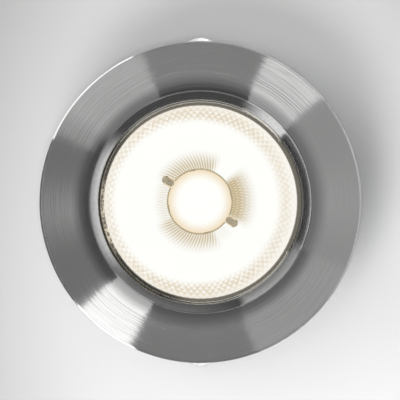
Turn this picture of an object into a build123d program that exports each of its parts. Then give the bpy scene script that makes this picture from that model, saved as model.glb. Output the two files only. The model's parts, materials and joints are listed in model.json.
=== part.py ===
from build123d import *
import os
from math import acos, atan2, cos, degrees, hypot, radians, sin, sqrt, tan

# Round recessed downlight, in millimetres. Its axis is Z and the ceiling is the plane z = 0.
# It shines towards -Z; the collar, heatsink and cable gland stand above the ceiling, towards +Z.
# Two spring clips, at -Y and +Y, hold it in a round cut-out.

# Bezel, the side that shows
mouth_radius = 25.4  # opening in front of the glass, which the other radii follow
bevel_width = 2.1  # from the mouth out to the crest
curl_width = 4.5  # from the crest out to the shoulder, where the outer cone starts
flange_overlap = 7.5  # reach of the flange over the ceiling, outside the collar
flange_edge = 2.0  # height of the outer wall
rim_setback = 0.4  # the outer wall stops this far short of the ceiling
rim_lip = 0.8  # width of the lip round the gasket
edge_chamfer = 0.5
flange_slope = 7.0  # degrees, on the outer cone
crest_slope = 24.0  # degrees, where the curl meets the crest
crest_round = 0.25
bevel_slope = 40.0  # degrees, from the crest down to the mouth
lip_land = 0.4  # straight stretch between the bevel and the wire's groove

# Sleeve, collar and gasket in and on the ceiling
collar_wall = 4.9
collar_height = 6.0
ledge_thickness = 1.4
ledge_width = 0.9
gasket_thickness = 1.2
gasket_play = 0.3  # to the collar and to the lip
press_play = 0.02

# Snap ring, glass and cushion seal
wire_diameter = 1.0
wire_show = 0.55  # how far the wire stands inside the mouth
wire_play = 0.05
groove_play = 0.1
wire_start = 32.0  # degrees round Z, the ends of the round stretch
wire_end = 320.0  # degrees
wire_hook_radius = 1.5
wire_hook_turn = 50.0  # degrees that each end turns inwards
bore_step = 0.15  # the bore is this much tighter than the mouth
glass_thickness = 2.0
glass_play = 0.15
glass_chamfer = 0.3
seal_thickness = 0.8
seal_width = 0.6
seal_play = 0.05

# Reflector
facet_columns = 90
facet_rings = 18
bowl_inset = 1.1  # from the mouth in to the bowl's edge
neck_radius = 8.55
bowl_depth = 20.5
bowl_wall = 0.5
rim_thickness = 0.6
slot_angle = 32.5  # degrees, first of the two slots in the neck
slot_width = 2.2
slot_reach = 11.4

# LED array and its holder
phosphor_radius = 7.7
phosphor_thickness = 0.7
phosphor_chamfer = 0.3
phosphor_sink = 0.1  # phosphor's face lies this far behind the neck's plane
board_side = 16.2
board_thickness = 1.4
board_play = 0.15
pad_thickness = 0.5
holder_radius = 15.8
holder_mouth = 8.2
holder_screw_circle = 11.8
holder_screw_radius = 1.0
holder_head_radius = 1.9
holder_head_height = 1.2
holder_screw_depth = 4.0  # into the heatsink
holder_screw_turn = 45.0  # degrees from the slots to the screws
contact_width = 1.7
contact_thickness = 0.3
contact_inner = 8.9
contact_play = 0.2
lead_circle = 12.6
lead_radius = 0.6
lead_play = 0.5

# Heatsink
sleeve_wall = 2.1  # from the mouth's radius out to the skirt's
skirt_play = 0.1
skirt_wall = 2.9
skirt_top = 9.5
skirt_floor = 8.0
body_seal_thickness = 0.8
body_seal_width = 1.9
shell_step = 3.5  # from the skirt in to the shell
shell_wall = 2.0
base_thickness = 5.0
core_margin = 0.7  # core's radius beyond the holder's
fin_count = 30
fin_thickness = 1.3
fin_proud = 2.5  # fins stand this far out of the shell
fin_start = 11.5
fin_end = 46.0
fin_lead = 1.5  # slope at the front end of each fin
fin_shoulder = 3.0  # chamfer at the rear end of each fin
lug_count = 4
lug_inset = 2.5  # from the collar's outside in to the lugs' screws
lug_radius = 3.0
lug_screw_radius = 1.5
lug_head_radius = 2.6
lug_head_height = 1.8
lug_screw_depth = 4.5  # into the collar
hole_play = 0.2  # round a screw that passes through
thread_play = 0.02  # round a screw that bites

# Spring clips, pivot on a line parallel to X
pivot_inset = 2.8  # from the collar's outside in to the pivot
pivot_height = 13.5
pin_radius = 1.0
pin_play = 0.05
pin_head_radius = 1.7
pin_head = 0.6
blade_width = 10.0
blade_sheet = 0.7
blade_side_play = 0.3
foot_height = 2.6  # middle of the foot's sheet above the ceiling
foot_show = 1.15  # how far the foot's tip stands out beyond the flange
foot_out = 3.8  # from the collar's outside out to the foot's bend
bend_radius = 1.6
knuckle_width = 1.6
bead_radius = 0.6
bead_setback = 2.0  # from each end of the bead's stretch
window_reach = 4.2
ear_radius = 2.3
ear_thickness = 1.0
bracket_sheet = 1.0
bracket_back = 1.8  # base's reach from the pivot inwards
bracket_front = 2.2  # base's reach from the pivot outwards
bracket_screw_shift = 0.6  # screw's place outside the pivot
bracket_screw_radius = 1.2
bracket_head_radius = 1.8
bracket_head_height = 1.2
bracket_screw_depth = 3.8

# Torsion springs
spring_wire = 0.7
spring_turns = 4  # whole turns, before the part turn that the legs need
spring_pitch = 1.15
spring_leg = 8.5  # leg that lies on the blade
spring_leg_play = 0.05
spring_fixed_lean = 20.0  # degrees, fixed leg from upright
spring_hole_play = 0.3

# Rear cover and cable entry
cover_radius = 15.0
cover_wall = 1.8
cover_top = 2.0
cover_height = 14.0
cover_seal_thickness = 0.8
cover_seal_width = 1.4
cover_ear_out = 3.4  # from the cover's wall out to its screws
cover_ear_radius = 3.0
cover_ear_thickness = 3.0
cover_screw_radius = 1.25
cover_head_radius = 2.3
cover_head_height = 1.6
cover_screw_depth = 8.0
cover_screw_room = 1.0  # hole left free under the screw's end
boss_radius = 3.2
entry_boss_radius = 6.9
entry_proud = 1.8  # from the cover's wall out to the flat that the gland sits on
gland_flats = 12.6
gland_hex = 4.5
gland_thread_radius = 5.0
gland_tail = 4.0
gland_neck = 5.0
gland_bore = 4.0
nut_gap = 0.5
nut_skirt = 5.0
nut_dome = 2.6
nut_step = 0.3  # from the hexagon's flats in to the dome
nut_mouth = 3.7
nut_tip_radius = 4.8
grommet_bore = 3.0
grommet_length = 8.4
grommet_play = 0.05
terminal_length = 10.0
terminal_width = 8.0
terminal_height = 8.0
terminal_round = 0.8
lead_bite = 1.0  # how far a lead reaches into the block
terminal_screw_radius = 1.2
terminal_screw_spread = 2.4
terminal_screw_depth = 2.0
lead_bend = 2.5
lead_rise = 4.6  # height of the leads' cross run above the heatsink's end

# Radii, from the mouth outwards and inwards
crest_radius = mouth_radius + bevel_width
shoulder_radius = crest_radius + curl_width
skirt_radius = mouth_radius + sleeve_wall
skirt_inner = skirt_radius - skirt_wall
collar_bore = skirt_radius + skirt_play
collar_radius = collar_bore + collar_wall
flange_radius = collar_radius + flange_overlap
bowl_radius = mouth_radius - bowl_inset
shell_radius = skirt_radius - shell_step
fin_radius = shell_radius + fin_proud
core_radius = holder_radius + core_margin
lug_circle = collar_radius - lug_inset
pivot_radius = collar_radius - pivot_inset
foot_bend = collar_radius + foot_out
foot_tip = flange_radius + foot_show
bracket_screw_place = pivot_radius + bracket_screw_shift
cover_screw_circle = cover_radius + cover_ear_out
entry_face = cover_radius + entry_proud

# Places along the axis, from the flange's edge to the wire, then back through the stack
edge_front = -rim_setback - flange_edge
shoulder_z = edge_front - (flange_radius - edge_chamfer - shoulder_radius) * tan(radians(flange_slope))
curl_radius = (shoulder_radius - crest_radius) / (sin(radians(crest_slope)) - sin(radians(flange_slope)))


def curl_point(slope):
    """Point on the curl between shoulder and crest where the surface has this slope, in degrees."""
    r = shoulder_radius - curl_radius * (sin(radians(slope)) - sin(radians(flange_slope)))
    return r, shoulder_z - curl_radius * (cos(radians(flange_slope)) - cos(radians(slope)))


crest_z = curl_point(crest_slope)[1]
mouth_z = crest_z + (crest_radius - mouth_radius) * tan(radians(bevel_slope))
groove_front = mouth_z + lip_land
wire_z = groove_front + wire_play + wire_diameter / 2
groove_back = wire_z + wire_diameter / 2 + wire_play
wire_circle = mouth_radius - wire_show + wire_diameter / 2
bore_radius = mouth_radius - bore_step
glass_radius = bore_radius - glass_play
glass_back = groove_back + glass_thickness
rim_back = glass_back + rim_thickness
ledge_front = rim_back + seal_thickness
ledge_back = ledge_front + ledge_thickness
skirt_front = ledge_back + body_seal_thickness
neck_z = glass_back + bowl_depth
board_front = neck_z + phosphor_sink + phosphor_thickness
pad_front = board_front + board_thickness
floor_z = pad_front + pad_thickness
base_back = floor_z + base_thickness
cover_seat = fin_end + cover_seal_thickness
cover_back = cover_seat + cover_height
entry_z = cover_seat + cover_height / 2

# Spring clip layout, seen along X with the pivot as origin
knuckle_bore = pin_radius + pin_play
knuckle_radius = knuckle_bore + blade_sheet
sheet_offset = knuckle_bore + blade_sheet / 2
pivot_drop = pivot_height - collar_height
foot_drop = pivot_height - foot_height
bend = (foot_bend - pivot_radius, -foot_drop)
tip = (foot_tip - pivot_radius, -foot_drop)
arm_side = degrees(atan2(bend[1], bend[0]) + acos(sheet_offset / hypot(*bend)))
arm_root = (sheet_offset * cos(radians(arm_side)), sheet_offset * sin(radians(arm_side)))
ear_inner = blade_width / 2 + blade_side_play
ear_outer = ear_inner + ear_thickness
spring_circle = knuckle_radius + spring_wire / 2 + spring_leg_play
spring_start = 180.0 + spring_fixed_lean
spring_sweep = spring_start - arm_side + 360.0 * spring_turns
spring_length = spring_pitch * spring_sweep / 360.0


def lathe(corners):
    """Solid turned round Z from the corners of its half section, as (radius, z)."""
    return revolve(make_face(Polyline(*[(r, 0, z) for r, z in corners], close=True)), Axis.Z)


def ring(inner, outer, low, high):
    """Flat ring between two radii and two heights."""
    return lathe([(inner, low), (outer, low), (outer, high), (inner, high)])


def peg(radius, low, high):
    """Upright cylinder on the axis."""
    return Pos(0, 0, (low + high) / 2) * Cylinder(radius, high - low)


def slot(inner, outer, width, low, high):
    """Upright bar along +X with a round outer end."""
    bar = Pos((inner + outer - width / 2) / 2, 0) * Rectangle(outer - width / 2 - inner, width)
    plan = bar + Pos(outer - width / 2, 0) * Circle(width / 2)
    return extrude(Pos(0, 0, low) * plan, high - low)


def screw(shank_radius, reach, head_radius, head_height):
    """Cap screw pointing down, seated at z = 0, with a hex recess in its head."""
    recess = extrude(Pos(0, 0, head_height / 2) * RegularPolygon(head_radius / 2, 6), head_height)
    return peg(shank_radius, -reach, 0) + peg(head_radius, 0, head_height) - recess


def around(shape, count, first=0.0):
    """Copies of a shape evenly round Z, the first turned by this many degrees."""
    return [Rot(0, 0, first + 360.0 / count * i) * shape for i in range(count)]


def group(shapes):
    """Separate solids that share one node."""
    return Compound([s for shape in shapes for s in shape.solids()])


def make_bezel():
    """Turned ring: flange, crest, bevel, and a sleeve with the wire's groove and the ledge."""
    lip_radius = flange_radius - rim_lip
    corners = [
        (crest_radius, crest_z),
        (mouth_radius, mouth_z),
        (mouth_radius, groove_front),
        (wire_circle + wire_diameter / 2 + groove_play, groove_front),
        (wire_circle + wire_diameter / 2 + groove_play, groove_back),
        (bore_radius, groove_back),
        (bore_radius, ledge_front),
        (bore_radius - ledge_width, ledge_front),
        (bore_radius - ledge_width, ledge_back),
        (collar_bore - press_play, ledge_back),
        (collar_bore - press_play, -gasket_thickness),
        (lip_radius, -gasket_thickness),
        (lip_radius, -rim_setback),
        (flange_radius, -rim_setback),
        (flange_radius, edge_front + edge_chamfer),
        (flange_radius - edge_chamfer, edge_front),
        (shoulder_radius, shoulder_z),
    ]
    points = [(r, 0, z) for r, z in corners]
    middle_r, middle_z = curl_point((flange_slope + crest_slope) / 2)
    curl = ThreePointArc(points[-1], (middle_r, 0, middle_z), points[0])
    bezel = revolve(make_face([*Polyline(*points).edges(), curl]), Axis.Z)
    crest = bezel.edges().filter_by(GeomType.CIRCLE).sort_by(Axis.Z)[0]
    return fillet(crest, crest_round)


def make_mounting_collar():
    """Ring pressed on the bezel's sleeve; it enters the cut-out and takes the lug and bracket screws."""
    lug_hole = Pos(lug_circle, 0) * peg(
        lug_screw_radius + thread_play, collar_height - lug_screw_depth, collar_height
    )
    clip_hole = Pos(bracket_screw_place, 0) * peg(
        bracket_screw_radius + thread_play, collar_height - bracket_screw_depth, collar_height
    )
    collar = ring(collar_bore, collar_radius, -gasket_thickness, collar_height)
    return collar - around(lug_hole, lug_count, 180.0 / lug_count) - around(clip_hole, 2, 90.0)


def make_ceiling_gasket():
    """Foam ring between flange and ceiling."""
    return ring(
        collar_radius + gasket_play, flange_radius - rim_lip - gasket_play, -gasket_thickness, 0.0
    )


def make_snap_ring():
    """Open ring of sprung wire with both ends turned inwards."""

    def on_circle(angle):
        return Vector(wire_circle * cos(radians(angle)), wire_circle * sin(radians(angle)), wire_z)

    def hook(angle, way):
        outward = Vector(cos(radians(angle)), sin(radians(angle)))
        along = Vector(-outward.Y, outward.X) * way
        turn = radians(wire_hook_turn)
        shift = along * sin(turn) - outward * (1 - cos(turn))
        return TangentArc(on_circle(angle), on_circle(angle) + shift * wire_hook_radius, tangent=along)

    middle = (wire_start + wire_end) / 2
    rounds = [
        ThreePointArc(on_circle(a), on_circle((a + b) / 2), on_circle(b))
        for a, b in [(wire_start, middle), (middle, wire_end)]
    ]
    path = Wire([hook(wire_start, -1), *rounds, hook(wire_end, 1)])
    section = Plane(origin=path @ 0, z_dir=path % 0) * Circle(wire_diameter / 2)
    return sweep(section, path)


def make_front_glass():
    """Clear disc with bevelled edges."""
    glass = peg(glass_radius, groove_back, glass_back)
    return chamfer(glass.edges().filter_by(GeomType.CIRCLE), glass_chamfer)


def bowl_radius_at(depth):
    """Inner radius of the parabolic bowl at a depth behind its rim."""
    return sqrt(bowl_radius**2 - (bowl_radius**2 - neck_radius**2) * depth / bowl_depth)


def bowl_depth_at(radius):
    """Depth behind the rim at which the bowl has this inner radius."""
    return bowl_depth * (bowl_radius**2 - radius**2) / (bowl_radius**2 - neck_radius**2)


def faceted_void():
    """Space inside the bowl: rings of points half a step apart, so that the faces pair up as diamonds."""
    step = 360.0 / facet_columns

    def point(index, column, z=None):
        radius = neck_radius + (bowl_radius - neck_radius) * index / facet_rings
        angle = radians((column + 0.5 * (index % 2)) * step)
        depth_z = glass_back + bowl_depth_at(radius) if z is None else z
        return Vector(radius * cos(angle), radius * sin(angle), depth_z)

    def triangle(a, b, c):
        return Face(Wire.make_polygon([a, b, c], close=True))

    faces = []
    for index in range(facet_rings):
        lean = index % 2
        for column in range(facet_columns):
            low, low_next = point(index, column), point(index, column + 1)
            high, high_next = point(index + 1, column + lean), point(index + 1, column + lean + 1)
            if lean:
                faces += [triangle(low, low_next, high), triangle(high, low_next, high_next)]
            else:
                faces += [triangle(low, low_next, high), triangle(low_next, high_next, high)]
    overrun = rim_thickness
    for index, z in [(0, neck_z + overrun), (facet_rings, glass_back - overrun)]:
        edge = [point(index, column) for column in range(facet_columns)]
        cap = [point(index, column, z) for column in range(facet_columns)]
        for column in range(facet_columns):
            after = (column + 1) % facet_columns
            side = [edge[column], edge[after], cap[after], cap[column]]
            faces.append(Face(Wire.make_polygon(side, close=True)))
        faces.append(Face(Wire.make_polygon(cap, close=True)))
    return Solid(Shell(faces))


def make_reflector():
    """Thin bowl with diamond facets inside, a plain rim, and two slots in its neck for the contacts."""

    def outer(depth):
        slope = atan2(2 * bowl_depth * bowl_radius_at(depth), bowl_radius**2 - neck_radius**2)
        return bowl_radius_at(depth) + bowl_wall / sin(slope), glass_back + depth

    top, middle, low = outer(rim_thickness), outer(bowl_depth / 2), outer(bowl_depth)
    corners = [low, (0, neck_z), (0, glass_back), (glass_radius, glass_back), (glass_radius, rim_back), top]
    points = [(r, 0, z) for r, z in corners]
    wall = ThreePointArc(points[-1], (middle[0], 0, middle[1]), points[0])
    blank = revolve(make_face([*Polyline(*points).edges(), wall]), Axis.Z)
    notch_front = glass_back + bowl_depth_at(slot_reach) - bowl_wall
    notch = slot(0, slot_reach, slot_width, notch_front, neck_z + bowl_wall)
    notch -= peg(neck_radius / 2, glass_back, neck_z + bowl_wall)
    return blank - faceted_void() - around(notch, 2, slot_angle)


def make_cushion_seal():
    """Silicone ring that presses the reflector's rim and the glass against the wire."""
    outer = bore_radius - seal_play
    return ring(outer - seal_width, outer, rim_back, ledge_front)


def make_led_board():
    """Square metal-core board, turned so that its corners point at the slots."""
    plate = extrude(Rectangle(board_side, board_side), board_thickness)
    return Pos(0, 0, board_front) * Rot(0, 0, slot_angle + 45) * plate


def make_led_phosphor():
    """Round phosphor layer on the board, bevelled at its front edge."""
    layer = peg(phosphor_radius, neck_z + phosphor_sink, board_front)
    return chamfer(layer.edges().filter_by(GeomType.CIRCLE).sort_by(Axis.Z)[0], phosphor_chamfer)


def make_thermal_pad():
    """Soft pad between board and heatsink."""
    pad = extrude(Rectangle(board_side, board_side), pad_thickness)
    return Pos(0, 0, pad_front) * Rot(0, 0, slot_angle + 45) * pad


def make_led_contacts():
    """Two flat tongues from the board's corner pads out to the leads."""
    outer = lead_circle + contact_width / 2
    tongue = slot(contact_inner, outer, contact_width, board_front - contact_thickness, board_front)
    tongue += Pos(contact_inner, 0) * extrude(
        Pos(0, 0, board_front - contact_thickness) * Circle(contact_width / 2), contact_thickness
    )
    return group(around(tongue, 2, slot_angle))


def make_led_holder():
    """Round clamp over the board, open at the phosphor, the contacts and the two screws."""
    holder = peg(holder_radius, neck_z, floor_z) - peg(holder_mouth, neck_z, floor_z)
    pocket_side = board_side + 2 * board_play
    pocket = extrude(Rectangle(pocket_side, pocket_side), floor_z - board_front)
    holder -= Pos(0, 0, board_front) * Rot(0, 0, slot_angle + 45) * pocket
    room_width = contact_width + 2 * contact_play
    tongue_room = slot(0, lead_circle + room_width / 2, room_width, neck_z, board_front)
    lead_room = Pos(lead_circle, 0) * peg(lead_radius + contact_play, board_front, floor_z)
    screw_room = Pos(holder_screw_circle, 0) * (
        peg(holder_screw_radius + hole_play, neck_z, floor_z)
        + peg(holder_head_radius + hole_play, neck_z, neck_z + holder_head_height + hole_play)
    )
    return (
        holder
        - around(tongue_room, 2, slot_angle)
        - around(lead_room, 2, slot_angle)
        - around(screw_room, 2, slot_angle + holder_screw_turn)
    )


def make_holder_screws():
    """Two screws, heads sunk in the holder, that pull it on to the heatsink."""
    seat_z = neck_z + holder_head_height + hole_play
    reach = floor_z + holder_screw_depth - seat_z
    one = screw(holder_screw_radius, reach, holder_head_radius, holder_head_height)
    placed = Pos(holder_screw_circle, 0, seat_z) * Rot(180, 0, 0) * one
    return group(around(placed, 2, slot_angle + holder_screw_turn))


def make_heatsink():
    """Cast body: skirt in the collar, shell round the reflector, solid core, radial fins, lugs and bosses."""
    cavity = shell_radius - shell_wall
    body = lathe(
        [
            (skirt_inner, skirt_front),
            (skirt_radius, skirt_front),
            (skirt_radius, skirt_top),
            (shell_radius, skirt_top),
            (shell_radius, base_back),
            (core_radius, base_back),
            (core_radius, fin_end),
            (0, fin_end),
            (0, floor_z),
            (cavity, floor_z),
            (cavity, skirt_floor),
            (skirt_inner, skirt_floor),
        ]
    )
    root = shell_radius - shell_wall / 2
    inner = core_radius - shell_wall / 2
    profile = [
        (root, fin_start),
        (fin_radius, fin_start + fin_lead),
        (fin_radius, fin_end - fin_shoulder),
        (fin_radius - fin_shoulder, fin_end),
        (inner, fin_end),
        (inner, base_back - shell_wall / 2),
        (root, base_back - shell_wall / 2),
    ]
    sheet = make_face(Polyline(*[(r, 0, z) for r, z in profile], close=True))
    fin = extrude(sheet, fin_thickness / 2, both=True)
    lug = slot(skirt_inner, lug_circle + lug_radius, 2 * lug_radius, collar_height, skirt_top)
    lug -= peg((skirt_inner + skirt_radius) / 2, collar_height, skirt_top)
    boss = Pos(cover_screw_circle, 0) * peg(boss_radius, base_back, fin_end)
    body += [*around(fin, fin_count), *around(lug, lug_count, 180.0 / lug_count), *around(boss, 2, 90.0)]
    lug_hole = Pos(lug_circle, 0) * peg(lug_screw_radius + hole_play, collar_height, skirt_top)
    boss_hole = Pos(cover_screw_circle, 0) * peg(
        cover_screw_radius + thread_play, fin_end - cover_screw_depth, fin_end
    )
    holder_hole = Pos(holder_screw_circle, 0) * peg(
        holder_screw_radius + thread_play, floor_z, floor_z + holder_screw_depth
    )
    lead_hole = Pos(lead_circle, 0) * peg(lead_radius + lead_play, floor_z, fin_end)
    return (
        body
        - around(lug_hole, lug_count, 180.0 / lug_count)
        - around(boss_hole, 2, 90.0)
        - around(holder_hole, 2, slot_angle + holder_screw_turn)
        - around(lead_hole, 2, slot_angle)
    )


def make_heatsink_screws():
    """Screws through the lugs into the collar."""
    reach = skirt_top - collar_height + lug_screw_depth
    one = screw(lug_screw_radius, reach, lug_head_radius, lug_head_height)
    return group(around(Pos(lug_circle, 0, skirt_top) * one, lug_count, 180.0 / lug_count))


def make_body_seal():
    """Flat ring between the heatsink's skirt and the bezel's ledge."""
    return ring(skirt_radius - body_seal_width, skirt_radius, ledge_back, skirt_front)


# Clip pieces are drawn in the plane that cuts a clip lengthwise: local x runs outwards from the
# pivot, local y upwards and local z along the pin.
clip_plane = Plane(origin=(0, pivot_radius, pivot_height), x_dir=(0, 1, 0), z_dir=(1, 0, 0))


def on_side(shape, side):
    """Clip piece set at +Y (side 1) or, turned half round the light, at -Y (side 0)."""
    return Rot(0, 0, 0 if side else 180) * clip_plane.location * shape


def blade_path(lift, start, end):
    """Line along the blade, this far above the middle of its sheet, from the pivot side to the tip."""
    arm = Vector(bend[0] - arm_root[0], bend[1] - arm_root[1]).normalized()
    normal = Vector(-arm.Y, arm.X)
    half_turn = radians(arm.get_angle(Vector(1, 0))) / 2
    corner = Vector(*bend) + Vector(0, lift) + Vector(lift * tan(half_turn), 0)
    first = Vector(*arm_root) + normal * lift + arm * start
    last = Vector(tip[0] - end, tip[1] + lift)
    return FilletPolyline(first, corner, last, radius=bend_radius - lift)


def make_spring_clip():
    """Sheet blade: two knuckles round the pin, a sloping arm with a bead, and a foot with a round tip."""
    blade = extrude(trace(blade_path(0.0, 0.0, 0.0), blade_sheet), blade_width / 2, both=True)
    path = blade_path(blade_sheet / 2, window_reach + bead_setback, bead_setback)
    blade += sweep(Plane(origin=path @ 0, z_dir=path % 0) * Circle(bead_radius), path)
    round_end = Rot(90, 0, 0) * Cylinder(blade_width / 2, foot_drop)
    round_end = Pos(tip[0] - blade_width / 2, -foot_drop) * round_end
    square_end = Pos(tip[0], -foot_drop) * Box(blade_width, foot_drop, blade_width)
    blade -= square_end - round_end
    knuckle = Cylinder(knuckle_radius, knuckle_width)
    place = blade_width / 2 - knuckle_width / 2
    blade += [Pos(0, 0, place) * knuckle, Pos(0, 0, -place) * knuckle]
    blade -= Cylinder(window_reach, blade_width - 2 * knuckle_width)
    return blade - Cylinder(knuckle_bore, blade_width)


def make_clip_pin():
    """Hinge pin, headed at both ends, fixed in the bracket's ears."""
    pin = Cylinder(pin_radius, 2 * ear_outer)
    head = Cylinder(pin_head_radius, pin_head)
    place = ear_outer + pin_head / 2
    return pin + [Pos(0, 0, place) * head, Pos(0, 0, -place) * head]


def spring_point(turned):
    """Middle of the spring's wire after turning this many degrees from the fixed leg, and its direction."""
    angle = radians(spring_start - turned)
    climb = spring_length * (turned / spring_sweep - 0.5)
    place = Vector(spring_circle * cos(angle), spring_circle * sin(angle), climb)
    rise = spring_length / radians(spring_sweep)
    return place, Vector(spring_circle * sin(angle), -spring_circle * cos(angle), rise).normalized()


def biarc(start, end):
    """Two arcs that join two (place, direction) ends smoothly."""
    (p, u), (q, v) = start, end
    across, bends = q - p, 2 * (1 - u.dot(v))
    along = across.dot(u + v)
    reach = (sqrt(along**2 + bends * across.dot(across)) - along) / bends
    joint = (p + u * reach + q - v * reach) * 0.5
    first = TangentArc(p, joint, tangent=u)
    return [first, TangentArc(joint, q, tangent=first % 1)]


def spring_ends():
    """Free ends of the spring: in the bracket's base, and on the blade."""
    place, way = spring_point(0.0)
    drop = (place.Y + pivot_drop - bracket_sheet / 2) / way.Y
    last, last_way = spring_point(spring_sweep)
    return place - way * drop, last + last_way * spring_leg


def spring_gap():
    """Least space between neighbouring turns of the wire, measured on points half a turn and more apart."""
    count = 24
    steps = count * spring_turns
    points = [spring_point(spring_sweep * i / steps)[0] for i in range(steps + 1)]
    apart = [(a - b).length for i, a in enumerate(points) for b in points[i + count // 2 :]]
    return min(apart) - spring_wire


def make_clip_spring():
    """Torsion spring: one wire from the bracket's base, round the pin and out along the blade."""
    quarters = int(spring_sweep // 90) + 1
    stops = [spring_point(spring_sweep * i / quarters) for i in range(quarters + 1)]
    turns = [arc for a, b in zip(stops, stops[1:]) for arc in biarc(a, b)]
    fixed_end, free_end = spring_ends()
    path = Wire([Line(fixed_end, stops[0][0]), *turns, Line(stops[-1][0], free_end)])
    return sweep(Plane(origin=fixed_end, z_dir=stops[0][1]) * Circle(spring_wire / 2), path)


def make_clip_bracket():
    """Folded bracket: base on the collar, two ears that carry the pin, a hole for the spring's fixed leg."""
    ear = Circle(ear_radius) + Pos(0, -pivot_drop / 2) * Rectangle(2 * ear_radius, pivot_drop)
    ear = extrude(ear - Circle(pin_radius + thread_play), ear_thickness)
    base = Box(bracket_back + bracket_front, bracket_sheet, 2 * ear_outer)
    base = Pos((bracket_front - bracket_back) / 2, -pivot_drop + bracket_sheet / 2) * base
    bracket = base + [Pos(0, 0, ear_inner) * ear, Pos(0, 0, -ear_outer) * ear]
    screw_hole = Cylinder(bracket_screw_radius + hole_play, 4 * bracket_sheet)
    bracket -= Pos(bracket_screw_shift, -pivot_drop) * Rot(90, 0, 0) * screw_hole
    leg = spring_ends()[0]
    leg_hole = Cylinder(spring_wire / 2 + spring_hole_play, 2 * bracket_sheet)
    return bracket - Pos(leg.X, leg.Y, leg.Z) * Rot(90, 0, 0) * leg_hole


def make_bracket_screws():
    """One screw through each bracket into the collar."""
    seat_z = collar_height + bracket_sheet
    reach = bracket_sheet + bracket_screw_depth
    one = screw(bracket_screw_radius, reach, bracket_head_radius, bracket_head_height)
    return group(around(Pos(bracket_screw_place, 0, seat_z) * one, 2, 90.0))


def make_led_leads():
    """Two insulated leads from the contacts back through the core and across to the terminals."""
    top = fin_end + lead_rise
    points = [(lead_circle, 0, board_front), (lead_circle, 0, top), (terminal_length / 2 - lead_bite, 0, top)]
    path = FilletPolyline(*points, radius=lead_bend)
    lead = sweep(Pos(lead_circle, 0, board_front) * Circle(lead_radius), path)
    return group(around(lead, 2, slot_angle))


def make_terminal_block():
    """Moulded block on the core's end, with a wire hole at each end and two screw wells."""
    block = Pos(0, 0, fin_end) * extrude(Rectangle(terminal_length, terminal_width), terminal_height)
    block = fillet(block.edges().filter_by(Axis.Z), terminal_round)
    wire_hole = Rot(0, 90, 0) * Cylinder(lead_radius + hole_play, terminal_length)
    wire_hole = Pos(0, 0, fin_end + lead_rise) * wire_hole
    top = fin_end + terminal_height
    well = peg(terminal_screw_radius + hole_play, top - terminal_screw_depth, top)
    well = Pos(terminal_screw_spread, 0) * well
    return Rot(0, 0, slot_angle) * (block - wire_hole - around(well, 2))


def make_terminal_screws():
    """Two slotted screws in the block's wells."""
    top = fin_end + terminal_height
    low = top - terminal_screw_depth
    one = peg(terminal_screw_radius, low, top - terminal_screw_depth / 4)
    one -= Pos(0, 0, top) * Box(terminal_screw_radius / 3, 3 * terminal_screw_radius, terminal_screw_depth)
    return group(around(Pos(terminal_screw_spread, 0) * one, 2, slot_angle))


def make_rear_cover():
    """Moulded cap over the terminals, with two screw ears and a flat boss for the cable gland."""
    cup = peg(cover_radius, cover_seat, cover_back)
    cup = chamfer(cup.edges().filter_by(GeomType.CIRCLE).sort_by(Axis.Z)[-1], cover_top / 2)
    boss = Pos(0, 0, entry_z) * Rot(0, 90, 0) * peg(entry_boss_radius, 0, entry_face)
    ear_end = cover_screw_circle + cover_ear_radius
    ear = slot(0, ear_end, 2 * cover_ear_radius, cover_seat, cover_seat + cover_ear_thickness)
    inside = peg(cover_radius - cover_wall, cover_seat, cover_back - cover_top)
    cup = cup + boss + around(ear, 2, 90.0) - inside
    cup -= Pos(0, 0, entry_z) * Rot(0, 90, 0) * peg(gland_thread_radius + thread_play, 0, entry_face)
    hole = Pos(cover_screw_circle, 0) * peg(cover_screw_radius + hole_play, cover_seat, cover_back)
    return cup - around(hole, 2, 90.0)


def make_rear_seal():
    """Flat ring under the rear cover."""
    outer = cover_radius
    return ring(outer - cover_seal_width, outer, fin_end, cover_seat)


def make_rear_cover_screws():
    """Two screws through the cover's ears into the heatsink's bosses."""
    seat_z = cover_seat + cover_ear_thickness
    reach = seat_z - fin_end + cover_screw_depth - cover_screw_room
    one = screw(cover_screw_radius, reach, cover_head_radius, cover_head_height)
    return group(around(Pos(cover_screw_circle, 0, seat_z) * one, 2, 90.0))


def along_entry(shape):
    """Gland piece drawn upright from z = 0, laid along +X with z = 0 at the cover's flat."""
    return Pos(entry_face, 0, entry_z) * Rot(0, 90, 0) * shape


def make_gland_body():
    """Hex body with a tail in the cover, a neck for the nut and a through bore."""
    hexagon = extrude(RegularPolygon(gland_flats / 2, 6, major_radius=False), gland_hex)
    body = hexagon + peg(gland_thread_radius, -gland_tail, gland_hex + gland_neck)
    return along_entry(body - peg(gland_bore, -gland_tail, gland_hex + gland_neck))


def make_gland_nut():
    """Domed hex nut that squeezes the grommet."""
    low = gland_hex + nut_gap
    high = low + nut_skirt
    hexagon = extrude(Pos(0, 0, low) * RegularPolygon(gland_flats / 2, 6, major_radius=False), nut_skirt)
    top = high + nut_dome
    dome = lathe([(0, high), (gland_flats / 2 - nut_step, high), (nut_tip_radius, top), (0, top)])
    nut = hexagon + dome - peg(gland_thread_radius + thread_play, low, high)
    return along_entry(nut - peg(nut_mouth, low, top))


def make_gland_grommet():
    """Rubber sleeve that the cable passes through."""
    high = gland_hex + nut_gap + nut_skirt
    return along_entry(ring(grommet_bore, gland_bore - grommet_play, high - grommet_length, high))


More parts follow.
